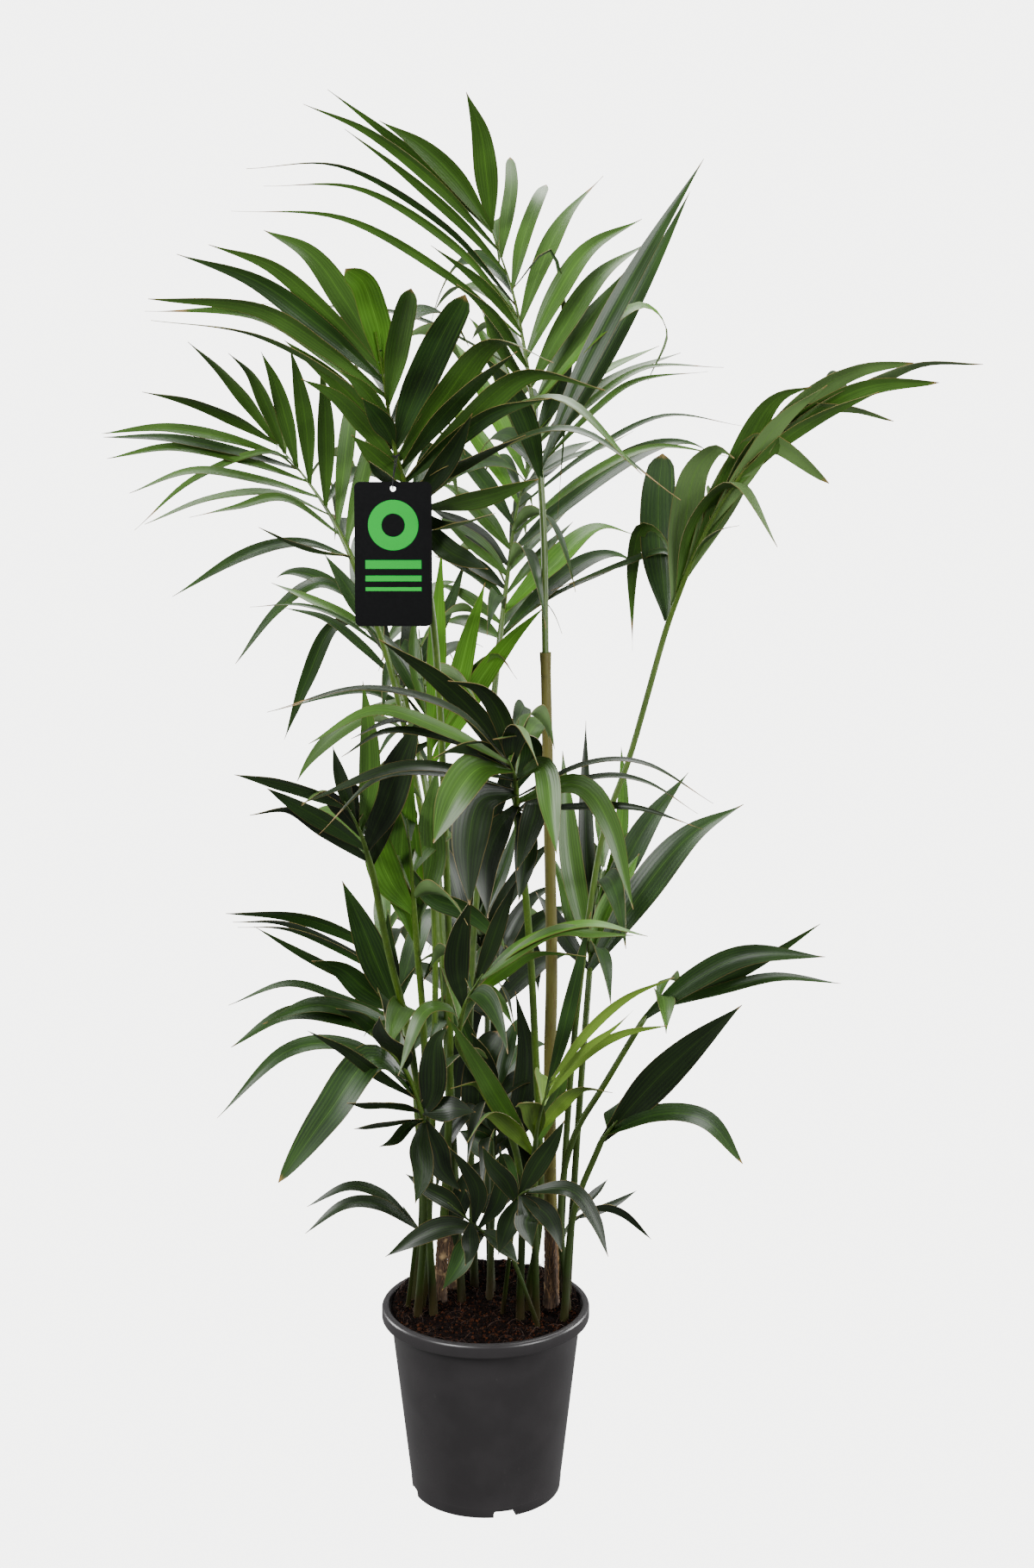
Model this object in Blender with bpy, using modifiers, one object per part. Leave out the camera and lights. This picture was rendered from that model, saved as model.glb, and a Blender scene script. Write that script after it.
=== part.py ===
"""Kentia palm in its round nursery pot, about 1.6 m tall, in metres with +Z up.

The origin is the middle of the pot's flat underside, and +Y points away from the front.
The foliage is laid out on a front view, one unit to the millimetre at the pot's axis, and every
point of it is moved along its line of sight to a depth, in millimetres behind that axis.
"""
import math
from dataclasses import dataclass, field

import bpy
from mathutils import Vector

# Pot, a moulded shell turned about Z
POT_HEIGHT = 0.228
RIM_RADIUS = 0.120
LIP_HEIGHT = 0.0165
MOUTH_RADIUS = 0.1115
WALL_TOP_RADIUS = 0.107
WALL_FOOT_RADIUS = 0.0862
WALL = 0.0025
POT_FLOOR = 0.0125
THROAT = POT_HEIGHT - LIP_HEIGHT - 0.004
MOUTH_FOOT = POT_HEIGHT - 0.007
MOUTH_FLARE = 0.0015
LIP_ROUND = 0.0035
FOOT_ROUND = 0.001
TURNED_STEPS = 48

# Drain notches round the foot
NOTCH_COUNT = 4
NOTCH_FIRST_ANGLE = -75
NOTCH_WIDTH = 0.026
NOTCH_HEIGHT = 0.008
NOTCH_DEPTH = 0.005

# Soil, flat on top so that every stalk stands clear of it
SOIL_TOP = 0.2195
GAP = 0.0003
FOOT_CLEARANCE = 0.0022

# Stalks and trunks, and the stalk point that the sheath on the tallest one ends at
STALK_FOOT_RADIUS = 0.0050
STALK_TOP_RADIUS = 0.0034
SEEDLING_RADIUS = 0.0030
SHEATH_FOOT_RADIUS = 0.0072
SHEATH_TOP_RADIUS = 0.0056
SHEATH_END = 2
SHEATH_GAP = 0.002
STALK_POINTS = 9
BLADE_CLEARANCE = 0.004

# Frond blades
BLADE_THICKNESS = 0.003
SEAM = 0.03

# Hanging card and its tie
TAG_WIDTH = 0.080
TAG_HEIGHT = 0.149
TAG_THICKNESS = 0.0008
TAG_CORNER = 0.006
TAG_HOLE_RADIUS = 0.003
TAG_HOLE_DROP = 0.007
TAG_CENTRE = (456.5, 643)
TAG_DEPTH = -142
TAG_LEAN = 4
TIE_RADIUS = 0.0006
TIE_TOP = (455, 528)
TIE_TOP_DEPTH = -130

# Front view: the eye it is drawn from, how far its line of sight tilts down, and its scale
EYE = Vector((0.0345, -2.97, 1.537))
TILT = math.radians(13.15)
VIEW_CENTRE = (600.0, 909.5)
VIEW_SCALE = 3200.0
MM = 0.001


@dataclass
class Frond:
    """One palm leaf.

    foot is on the soil, mm right of and behind the pot's axis. stalk holds (right, down, depth) points of
    the front view, rachis (right, down) points from the blade's base to its tip, depth is the rachis's
    depth at those two ends, and left and right are the outline that the leaflet tips reach, from the base
    upward. swing is how far behind the rachis the left and right tips lie, lift how far the leaflets arch,
    and spring the stretch of the rachis that carries leaflets.
    """
    name: str
    foot: tuple
    stalk: tuple
    rachis: tuple
    depth: tuple
    left: tuple
    right: tuple
    swing: tuple
    lift: float = 0.18
    spring: tuple = (0.0, 1.0)
    rows: int = 7
    seams: tuple = field(default=())


FRONDS = (
    Frond("top", (76, 10), ((638, 1250, 15), (640, 1100, 25), (633, 757, 30), (632, 640, 35)),
          ((628, 560), (617, 460), (598, 350), (570, 266)), (40, 110),
          ((340, 400), (285, 310), (250, 252), (268, 222), (350, 121), (541, 106)),
          ((825, 430), (817, 190), (765, 400), (750, 270), (745, 200), (592, 175)), (-190, 140)),
    Frond("upper_left", (-54, 28), ((522, 1250, 0), (518, 1000, -35), (505, 740, -65)),
          ((480, 590), (458, 520), (447, 450), (436, 385)), (-90, -190),
          ((200, 400), (170, 362), (172, 347), (235, 290), (306, 267), (397, 313)),
          ((660, 600), (790, 580), (748, 552), (702, 453), (600, 385), (500, 330)), (-100, -170)),
    Frond("left", (-70, 44), ((505, 1200, 30), (500, 1010, 15), (455, 780, 5)),
          ((410, 650), (385, 600), (355, 555), (320, 513)), (-10, 60),
          ((205, 687), (168, 608), (142, 580), (124, 532), (118, 503), (165, 455)),
          ((450, 500), (412, 420), (372, 425), (320, 402), (250, 400), (190, 425)), (-120, 170)),
    Frond("back_left", (-38, 62), ((518, 1200, 72), (500, 950, 105)),
          ((470, 810), (440, 740), (410, 690)), (125, 260),
          ((345, 900), (330, 855), (273, 770), (290, 704), (315, 676)),
          ((560, 760), (540, 700), (500, 640), (420, 620)), (20, 160)),
    Frond("back", (-14, 66), ((545, 1200, 105), (560, 950, 140)),
          ((580, 740), (590, 660), (600, 590), (618, 530)), (180, 300),
          ((515, 725), (512, 650), (510, 580), (500, 450), (515, 385), (560, 360)),
          ((737, 650), (858, 610), (818, 523), (860, 494), (780, 470), (680, 430)), (60, 160)),
    Frond("inner_left", (-28, 20), ((520, 1200, 40), (508, 1000, 55)),
          ((500, 900), (495, 820), (486, 730)), (75, 60),
          ((400, 800), (410, 720), (440, 650), (480, 620)),
          ((640, 800), (632, 704), (563, 675), (513, 625)), (60, -60), rows=5),
    Frond("right", (84, 40), ((658, 1300, 50), (674, 1130, 58), (700, 960, 64), (727, 890, 70)),
          ((775, 720), (825, 605), (905, 500), (1040, 430)), (75, -40),
          ((735, 740), (752, 535), (850, 525), (935, 449), (985, 436), (1092, 430)),
          ((745, 740), (903, 640), (965, 565), (1038, 490), (1095, 447), (1141, 423)), (110, -150),
          lift=0.25, spring=(0.0, 0.8), seams=(0.5,)),
    Frond("front", (46, 0), ((627, 1400, -50), (620, 1190, -105), (612, 1060, -155)),
          ((600, 950), (598, 905), (590, 880)), (-210, -350),
          ((500, 985), (369, 969), (350, 937), (358, 863), (315, 820), (442, 810), (450, 730)),
          ((646, 1000), (735, 1055), (816, 961), (828, 930), (760, 860), (640, 780)), (-90, -60), lift=0.3),
    Frond("middle_left", (-76, 8), ((498, 1450, -15), (480, 1230, -50), (452, 1110, -95)),
          ((432, 1010), (418, 965), (400, 930)), (-145, -235),
          ((300, 1000), (285, 945), (272, 899), (340, 875), (386, 867)),
          ((520, 930), (490, 830), (450, 840), (420, 860)), (-110, -30), rows=5),
    Frond("front_left", (-60, -12), ((497, 1400, -40), (492, 1200, -67)),
          ((483, 1090), (478, 1010), (472, 950)), (-92, -147),
          ((390, 1010), (400, 920), (423, 805)),
          ((545, 990), (530, 900), (495, 880), (460, 860)), (-20, 55), rows=5),
    Frond("low_left", (-86, 26), ((490, 1400, 24),),
          ((480, 1230), (458, 1160), (440, 1090)), (20, 100),
          ((265, 1230), (265, 1166), (262, 1062), (340, 1060), (396, 1025)),
          ((560, 1180), (520, 1080), (470, 1040), (430, 1030)), (-80, 142)),
    Frond("low_front_left", (-78, -16), ((492, 1420, -68),),
          ((492, 1300), (470, 1240), (430, 1200)), (-122, -168),
          ((323, 1372), (250, 1300), (255, 1235), (300, 1180), (356, 1195)),
          ((540, 1290), (520, 1200), (450, 1130), (380, 1130)), (-150, -5), lift=0.3),
    Frond("back_right", (94, 26), ((674, 1260, 60),),
          ((684, 1130), (690, 1060), (702, 990)), (95, 250),
          ((600, 1060), (645, 970), (653, 871), (680, 836)),
          ((800, 1060), (863, 933), (799, 896), (721, 866)), (80, 150), rows=5),
    Frond("middle", (40, -24), ((600, 1340, -87),),
          ((530, 1210), (540, 1165), (560, 1130)), (-150, -245),
          ((460, 1255), (440, 1200), (470, 1130), (530, 1070)),
          ((600, 1195), (690, 1120), (754, 1088), (700, 1040), (610, 1040)), (-110, -60), rows=5),
    Frond("young", (58, -28), (),
          ((620, 1340), (625, 1300), (640, 1250)), (-103, -220),
          ((540, 1327), (522, 1263), (570, 1230), (612, 1200)),
          ((711, 1268), (775, 1190), (783, 1134), (735, 1150), (660, 1140)), (-90, -50), rows=5),
    Frond("low_right", (94, -6), ((650, 1400, -10), (665, 1320, -14), (700, 1260, -17)),
          ((745, 1185), (765, 1160), (790, 1140)), (-20, 20),
          ((900, 1075), (952, 1072)),
          ((975, 1140), (955, 1110)), (90, -70), rows=4),
    Frond("foot_right", (90, -28), ((665, 1410, -45),),
          ((697, 1325), (706, 1312), (716, 1300)), (-60, -80),
          ((820, 1160), (861, 1166)),
          ((862, 1350), (850, 1300)), (60, -100), lift=0.3, rows=4),
    Frond("seedling_left", (-90, 2), (),
          ((484, 1425), (476, 1412), (468, 1400)), (-50, 60),
          ((354, 1431), (348, 1415)),
          ((356, 1400), (375, 1385)), (-30, 60), lift=0.3, rows=4),
    Frond("seedling_front", (60, -48), ((590, 1450, -103),),
          ((562, 1430), (540, 1412), (520, 1395)), (-110, -150),
          ((513, 1497), (447, 1458), (470, 1361)),
          ((600, 1380), (570, 1340), (540, 1320)), (-20, -20), rows=5),
    Frond("seedling_middle", (20, -10), (),
          ((598, 1400), (604, 1386), (615, 1380)), (-128, -200),
          ((617, 1448), (560, 1340), (590, 1320)),
          ((707, 1458), (740, 1420), (660, 1330)), (-20, -30), lift=0.3, rows=5),
    Frond("seedling_right", (74, 62), (),
          ((655, 1430), (670, 1405), (685, 1390)), (107, 160),
          ((650, 1370), (680, 1350), (705, 1350)),
          ((756, 1438), (745, 1400), (738, 1380)), (-12, 60), rows=4),
    Frond("low_middle", (4, 30), (),
          ((572, 1360), (572, 1310), (575, 1260)), (25, 35),
          ((530, 1330), (532, 1250), (548, 1180)),
          ((650, 1300), (645, 1220), (600, 1160)), (-20, 40), rows=5),
    Frond("low_back", (6, 52), ((564, 1300, 110),),
          ((566, 1180), (560, 1120), (552, 1060)), (165, 330),
          ((450, 1130), (455, 1020), (510, 940)),
          ((660, 1110), (660, 1010), (600, 930)), (90, 60), rows=5),
)

# Frond on each trunk, the trunk's name, its radius at the soil and at its top, and its height
TRUNKS = {
    "top": ("trunk_right", 0.0086, 0.0076, 0.100),
    "upper_left": ("trunk_left", 0.0078, 0.0066, 0.095),
    "back_left": ("trunk_middle", 0.0070, 0.0060, 0.075),
}


def clear_scene():
    for item in list(bpy.data.objects):
        bpy.data.objects.remove(item, do_unlink=True)


def make_collection(name):
    collection = bpy.data.collections.new(name)
    bpy.context.scene.collection.children.link(collection)
    return collection


def make_material(name, colour, roughness, metallic=0.0):
    material = bpy.data.materials.new(name)
    material.use_nodes = True
    shader = material.node_tree.nodes["Principled BSDF"]
    shader.inputs["Base Color"].default_value = (*colour, 1.0)
    shader.inputs["Roughness"].default_value = roughness
    shader.inputs["Metallic"].default_value = metallic
    return material


def on_view(right, down, depth):
    """World point that the front view shows at right, down, when it lies depth mm behind the pot's axis."""
    ahead = Vector((0, math.cos(TILT), -math.sin(TILT)))
    above = Vector((0, math.sin(TILT), math.cos(TILT)))
    across = Vector((1, 0, 0))
    ray = ahead + across * ((right - VIEW_CENTRE[0]) / VIEW_SCALE)
    ray += above * ((VIEW_CENTRE[1] - down) / VIEW_SCALE)
    return EYE + ray * ((depth * MM - EYE.y) / ray.y)


def along(points, t):
    """Point at t, from 0 to 1, on a smooth curve through evenly spaced points."""
    points = [Vector(point) for point in points]
    last = len(points) - 1
    x = min(max(t, 0.0), 1.0) * last
    k = min(int(x), last - 1)
    u = x - k
    b = points[k]
    c = points[k + 1]
    a = points[k - 1] if k > 0 else 2 * b - c
    d = points[k + 2] if k + 2 <= last else 2 * c - b
    cubic = 3 * b - a - 3 * c + d
    square = 2 * a - 5 * b + 4 * c - d
    return 0.5 * (2 * b + (c - a) * u + square * u ** 2 + cubic * u ** 3)


def rachis_point(frond, t):
    right, down = along(frond.rachis, t)
    return on_view(right, down, frond.depth[0] + (frond.depth[1] - frond.depth[0]) * t)


def leaflet_point(frond, side, row, reach):
    """Point at reach, from 0 at the rachis to 1 at the tip, on the leaflet at row of the left or right side."""
    t = frond.spring[0] + (frond.spring[1] - frond.spring[0]) * row
    start = rachis_point(frond, t)
    right, down = along(frond.left if side == 0 else frond.right, row)
    depth = frond.depth[0] + (frond.depth[1] - frond.depth[0]) * t + frond.swing[side]
    tip = on_view(right, down, depth)
    chord = tip - start
    heading = chord.normalized()
    lift = (Vector((0, 0, 1)) - heading * heading.z) * frond.lift * chord.length
    middle = (start + tip) / 2 + lift
    return start * (1 - reach) ** 2 + middle * 2 * (1 - reach) * reach + tip * reach ** 2


def stalk_points(frond):
    """Points that the stalk runs through, from the soil to the blade's base."""
    foot = Vector((frond.foot[0] * MM, frond.foot[1] * MM, SOIL_TOP + FOOT_CLEARANCE))
    points = [foot] + [on_view(*point) for point in frond.stalk]
    base = rachis_point(frond, 0.0)
    away = (points[-1] - base).normalized()
    return points + [base + away * BLADE_CLEARANCE]


def height_share(points, height):
    """Share of the curve through points at which it first reaches a height."""
    steps = 400
    for k in range(steps + 1):
        if along(points, k / steps).z >= height:
            return k / steps
    return 1.0


def add_tube(name, points, start, end, radii, collection, material, count=STALK_POINTS):
    """Tapering round tube along the part of a smooth curve from start to end."""
    curve = bpy.data.curves.new(name, "CURVE")
    curve.dimensions = "3D"
    curve.bevel_depth = 1.0
    curve.bevel_resolution = 1
    curve.use_fill_caps = True
    spline = curve.splines.new("POLY")
    spline.points.add(count - 1)
    for k in range(count):
        share = k / (count - 1)
        point = along(points, start + (end - start) * share)
        spline.points[k].co = (*point, 1.0)
        spline.points[k].radius = radii[0] + (radii[1] - radii[0]) * share
    tube = bpy.data.objects.new(name, curve)
    curve.materials.append(material)
    collection.objects.link(tube)
    return tube


def add_stalk(frond, collection, materials):
    """Stalk of a frond, with the trunk it grows from where it has one."""
    points = stalk_points(frond)
    start = 0.0
    foot_radius = STALK_FOOT_RADIUS
    if frond.name.startswith("seedling"):
        foot_radius = SEEDLING_RADIUS
    if frond.name in TRUNKS:
        trunk, wide, narrow, tall = TRUNKS[frond.name]
        start = height_share(points, SOIL_TOP + tall)
        seam = GAP * 2 / (points[1] - points[0]).length / (len(points) - 1)
        add_tube(trunk, points, 0.0, start - seam, (wide, narrow), collection, materials["bark"], 5)
    if frond.name == "top":
        end = height_share(points, on_view(*frond.stalk[SHEATH_END]).z)
        radii = (SHEATH_FOOT_RADIUS, SHEATH_TOP_RADIUS)
        add_tube("sheath_right", points, start, end - SHEATH_GAP, radii, collection, materials["sheath"])
        start = end
    radii = (foot_radius, min(STALK_TOP_RADIUS, foot_radius * 0.8))
    add_tube("stalk_" + frond.name, points, start, 1.0, radii, collection, materials["stalk"])


def add_blade(name, frond, first, last, collection, material):
    """Thin blade of the frond's outline, from row first to row last of its leaflets."""
    rows = max(3, round(frond.rows * (last - first)) + 1)
    reaches = (-1.0, -0.5, 0.0, 0.5, 1.0)
    bpy.ops.mesh.primitive_grid_add(x_subdivisions=len(reaches) - 1, y_subdivisions=rows - 1, size=2.0)
    blade = bpy.context.active_object
    blade.name = name
    blade.data.name = name
    for vertex in blade.data.vertices:
        reach = vertex.co.x
        row = first + (last - first) * (vertex.co.y + 1) / 2
        vertex.co = leaflet_point(frond, 0 if reach < 0 else 1, row, abs(reach))
    shell = blade.modifiers.new("thickness", "SOLIDIFY")
    shell.thickness = BLADE_THICKNESS
    shell.offset = 0.0
    blade.data.materials.append(material)
    for holder in list(blade.users_collection):
        holder.objects.unlink(blade)
    collection.objects.link(blade)
    return blade


def add_frond(frond, collection, materials):
    add_stalk(frond, collection, materials)
    edges = (0.0, *frond.seams, 1.0)
    for k in range(len(edges) - 1):
        first = edges[k] + (SEAM / 2 if k > 0 else 0.0)
        last = edges[k + 1] - (SEAM / 2 if k + 2 < len(edges) else 0.0)
        name = "frond_" + frond.name
        if frond.seams:
            name += ("_lower", "_upper")[k]
        add_blade(name, frond, first, last, collection, materials["leaf"])


def pot_profile():
    """Half section of the pot from the middle of its inside floor over the lip to its underside."""
    lip_foot = POT_HEIGHT - LIP_HEIGHT
    return (
        (0.0, POT_FLOOR),
        (WALL_FOOT_RADIUS - WALL, POT_FLOOR),
        (WALL_TOP_RADIUS - WALL, THROAT),
        (MOUTH_RADIUS - MOUTH_FLARE, MOUTH_FOOT),
        (MOUTH_RADIUS, POT_HEIGHT - MOUTH_FLARE),
        (MOUTH_RADIUS + MOUTH_FLARE, POT_HEIGHT),
        (RIM_RADIUS - LIP_ROUND, POT_HEIGHT - LIP_ROUND / 10),
        (RIM_RADIUS - LIP_ROUND / 4, POT_HEIGHT - LIP_ROUND),
        (RIM_RADIUS, POT_HEIGHT - LIP_ROUND * 2),
        (RIM_RADIUS - LIP_ROUND / 8, lip_foot + LIP_ROUND),
        (RIM_RADIUS - LIP_ROUND, lip_foot),
        (WALL_TOP_RADIUS + FOOT_ROUND, lip_foot),
        (WALL_TOP_RADIUS, lip_foot - 2 * FOOT_ROUND),
        (WALL_FOOT_RADIUS, 3 * FOOT_ROUND),
        (WALL_FOOT_RADIUS - FOOT_ROUND, 0.0),
        (0.0, 0.0),
    )


def soil_profile():
    """Half section of the soil from the middle of its top over its side to the middle of its underside."""
    flare = (MOUTH_RADIUS - MOUTH_FLARE) - (WALL_TOP_RADIUS - WALL)
    rise = (SOIL_TOP - THROAT) / (MOUTH_FOOT - THROAT)
    return (
        (0.0, SOIL_TOP),
        (WALL_TOP_RADIUS - WALL + flare * rise - 2 * GAP, SOIL_TOP),
        (WALL_TOP_RADIUS - WALL - 2 * GAP, THROAT),
        (WALL_FOOT_RADIUS - WALL - 2 * GAP, POT_FLOOR + GAP),
        (0.0, POT_FLOOR + GAP),
    )


def add_turned(name, profile, collection, material):
    """Solid turned about Z from a half section that runs down its outer side."""
    mesh = bpy.data.meshes.new(name)
    edges = [(k, k + 1) for k in range(len(profile) - 1)]
    mesh.from_pydata([(radius, 0.0, height) for radius, height in profile], edges, [])
    turned = bpy.data.objects.new(name, mesh)
    collection.objects.link(turned)
    screw = turned.modifiers.new("turn", "SCREW")
    screw.axis = "Z"
    screw.steps = TURNED_STEPS
    screw.render_steps = TURNED_STEPS
    screw.use_merge_vertices = True
    screw.merge_threshold = 0.0001
    mesh.materials.append(material)
    return turned


def add_pot(collection, cutters, material):
    """Turned pot with drain notches cut in the lower edge of its wall."""
    pot = add_turned("pot", pot_profile(), collection, material)
    for k in range(NOTCH_COUNT):
        angle = math.radians(NOTCH_FIRST_ANGLE + 360 / NOTCH_COUNT * k)
        bpy.ops.mesh.primitive_cube_add(size=1.0)
        cutter = bpy.context.active_object
        cutter.name = "notch_cutter_%d" % (k + 1)
        middle = WALL_FOOT_RADIUS + NOTCH_DEPTH
        for vertex in cutter.data.vertices:
            vertex.co.x *= NOTCH_DEPTH * 4
            vertex.co.y *= NOTCH_WIDTH
            vertex.co.z *= NOTCH_HEIGHT * 2
        cutter.location = (middle * math.cos(angle), middle * math.sin(angle), 0.0)
        cutter.rotation_euler = (0.0, 0.0, angle)
        cutter.hide_render = True
        cutter.display_type = "WIRE"
        for holder in list(cutter.users_collection):
            holder.objects.unlink(cutter)
        cutters.objects.link(cutter)
        cut = pot.modifiers.new("notch_%d" % (k + 1), "BOOLEAN")
        cut.operation = "DIFFERENCE"
        cut.object = cutter
    return pot


def rounded_rectangle(width, height, corner, steps=4):
    """Corner points of a rounded rectangle, counter-clockwise, as an arc of a few points at each corner."""
    points = []
    for k in range(4):
        turn = math.pi / 2 * k
        across = (width / 2 - corner) * (1 if k in (0, 3) else -1)
        up = (height / 2 - corner) * (1 if k in (0, 1) else -1)
        for step in range(steps + 1):
            angle = turn + math.pi / 2 * step / steps
            points.append((across + corner * math.cos(angle), up + corner * math.sin(angle)))
    return points


def add_outline(curve, points):
    spline = curve.splines.new("POLY")
    spline.points.add(len(points) - 1)
    for point, (across, up) in zip(spline.points, points):
        point.co = (across, up, 0.0, 1.0)
    spline.use_cyclic_u = True


def add_tag(collection, material):
    """Card with rounded corners and a round hole near its top edge."""
    curve = bpy.data.curves.new("tag", "CURVE")
    curve.dimensions = "2D"
    curve.fill_mode = "BOTH"
    curve.extrude = TAG_THICKNESS / 2
    add_outline(curve, rounded_rectangle(TAG_WIDTH, TAG_HEIGHT, TAG_CORNER))
    hole = []
    for k in range(12):
        angle = -2 * math.pi * k / 12
        up = TAG_HEIGHT / 2 - TAG_HOLE_DROP + TAG_HOLE_RADIUS * math.sin(angle)
        hole.append((TAG_HOLE_RADIUS * math.cos(angle), up))
    add_outline(curve, hole)
    curve.materials.append(material)
    tag = bpy.data.objects.new("tag", curve)
    tag.location = on_view(*TAG_CENTRE, TAG_DEPTH)
    tag.rotation_euler = (math.radians(90 - TAG_LEAN), 0.0, 0.0)
    collection.objects.link(tag)
    return tag


def add_tie(collection, tag, material):
    """Thin tie from the card's hole up to the stalk that the card hangs from."""
    lean = math.radians(TAG_LEAN)
    upward = Vector((0.0, math.sin(lean), math.cos(lean)))
    forward = Vector((0.0, -math.cos(lean), math.sin(lean))) * (TAG_THICKNESS / 2 + TIE_RADIUS + GAP)
    hole = tag.location + upward * (TAG_HEIGHT / 2 - TAG_HOLE_DROP) + forward
    edge = tag.location + upward * (TAG_HEIGHT / 2 + TIE_RADIUS) + forward
    top = on_view(*TIE_TOP, TIE_TOP_DEPTH)
    add_tube("tag_tie", (hole, edge, top), 0.0, 1.0, (TIE_RADIUS, TIE_RADIUS), collection, material, 7)


def main():
    clear_scene()
    palm = make_collection("kentia_palm")
    cutters = make_collection("cutters")
    materials = {
        "pot": make_material("pot_plastic", (0.045, 0.042, 0.040), 0.38),
        "soil": make_material("potting_soil", (0.030, 0.016, 0.011), 0.95),
        "leaf": make_material("palm_leaf", (0.030, 0.085, 0.020), 0.45),
        "stalk": make_material("palm_stalk", (0.130, 0.190, 0.045), 0.45),
        "sheath": make_material("palm_sheath", (0.150, 0.130, 0.050), 0.55),
        "bark": make_material("trunk_fibre", (0.160, 0.095, 0.055), 0.85),
        "card": make_material("tag_card", (0.010, 0.011, 0.014), 0.35),
        "tie": make_material("tie_thread", (0.010, 0.010, 0.010), 0.80),
    }
    add_pot(palm, cutters, materials["pot"])
    add_turned("soil", soil_profile(), palm, materials["soil"])
    for frond in FRONDS:
        add_frond(frond, palm, materials)
    tag = add_tag(palm, materials["card"])
    add_tie(palm, tag, materials["tie"])


main()
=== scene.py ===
"""Looks of a potted kentia palm: pot, compost, stems, leaf stalks, leaflets, hanging card and its tie.

Laid out as an add-on and run as a script. Lengths are metres, +Z is up and +Y points away from the front.
The foliage is laid out on a front view, one unit to the millimetre at the pot's axis, and every point
of it is moved along its line of sight to a depth, in millimetres behind that axis.
"""
import math
import random
from dataclasses import dataclass

import bpy
import numpy as np
from bpy.props import FloatProperty, FloatVectorProperty, IntProperty, PointerProperty
from bpy.types import Operator, Panel, PropertyGroup
from mathutils import Euler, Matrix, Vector, noise


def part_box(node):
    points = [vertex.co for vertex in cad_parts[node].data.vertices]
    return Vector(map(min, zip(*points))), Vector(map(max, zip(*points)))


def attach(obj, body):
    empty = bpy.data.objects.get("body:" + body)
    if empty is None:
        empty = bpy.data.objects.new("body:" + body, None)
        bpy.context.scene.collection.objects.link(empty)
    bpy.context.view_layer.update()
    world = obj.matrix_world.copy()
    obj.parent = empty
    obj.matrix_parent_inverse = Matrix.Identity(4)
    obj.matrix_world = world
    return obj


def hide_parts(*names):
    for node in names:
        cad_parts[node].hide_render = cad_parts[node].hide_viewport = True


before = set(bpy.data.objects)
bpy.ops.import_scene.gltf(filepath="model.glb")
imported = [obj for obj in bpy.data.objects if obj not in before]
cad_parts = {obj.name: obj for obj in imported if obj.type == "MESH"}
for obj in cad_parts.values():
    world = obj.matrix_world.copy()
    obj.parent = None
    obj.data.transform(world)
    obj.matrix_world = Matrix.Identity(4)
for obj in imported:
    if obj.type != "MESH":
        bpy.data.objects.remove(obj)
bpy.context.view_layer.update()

bl_info = {
    "name": "Potted kentia palm",
    "version": (1, 0, 0),
    "blender": (4, 5, 0),
    "location": "3D View > Sidebar > Palm",
    "description": "Builds a potted kentia palm piece by piece around its construction model",
    "category": "Add Mesh",
}

BODY = "root"
SEED = 7
MM = 0.001

# Front view: the eye it is drawn from, how far its line of sight tilts down, its middle and its scale
EYE = Vector((0.0362, -2.97, 1.537))
TILT = math.radians(13.15)
VIEW_CENTRE = (600.0, 909.5)
VIEW_SCALE = 3200.0
VIEW_HEIGHT = 1819
FILM = 36.0

# Top of the compost in the construction model, and how far above it a leaf stalk's line begins
SOIL_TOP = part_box("soil")[1].z
FOOT_CLEARANCE = 0.0022

UP = Vector((0, 0, 1))
TOWARD_EYE = Vector((0, -1, 0.15))


def hex_colour(code):
    """Linear RGB of an sRGB hex colour."""
    shares = [int(code[k:k + 2], 16) / 255 for k in (1, 3, 5)]
    return tuple(s / 12.92 if s <= 0.04045 else ((s + 0.055) / 1.055) ** 2.4 for s in shares)


# Fronds

@dataclass
class Frond:
    """One palm leaf.

    foot is on the soil, mm right of and behind the pot's axis. stalk holds (right, down, depth) points of
    the front view, and rachis (right, down) points from the blade's base to its tip. depth is the rachis's
    depth at those two ends. left and right are the outline that the leaflet tips reach, from the base
    upward, and swing is how far behind the rachis the left and right tips lie. count is how many leaflets
    of each side follow that outline by rule, width how wide they are in mm, and face how far each side
    turns its upper surface to the front. lift is how far they arch, spring the stretch of the rachis that
    carries them, droop how far their ends hang, and shade the green that they have.
    """
    name: str
    foot: tuple
    stalk: tuple
    rachis: tuple
    depth: tuple
    left: tuple
    right: tuple
    swing: tuple
    count: tuple
    width: float
    face: tuple
    lift: float = 0.18
    spring: tuple = (0.0, 1.0)
    droop: float = 0.10
    shade: str = "mature"

    def depth_at(self, t):
        """Depth of the rachis at t, from the blade's base to its tip."""
        return self.depth[0] + (self.depth[1] - self.depth[0]) * t


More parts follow.
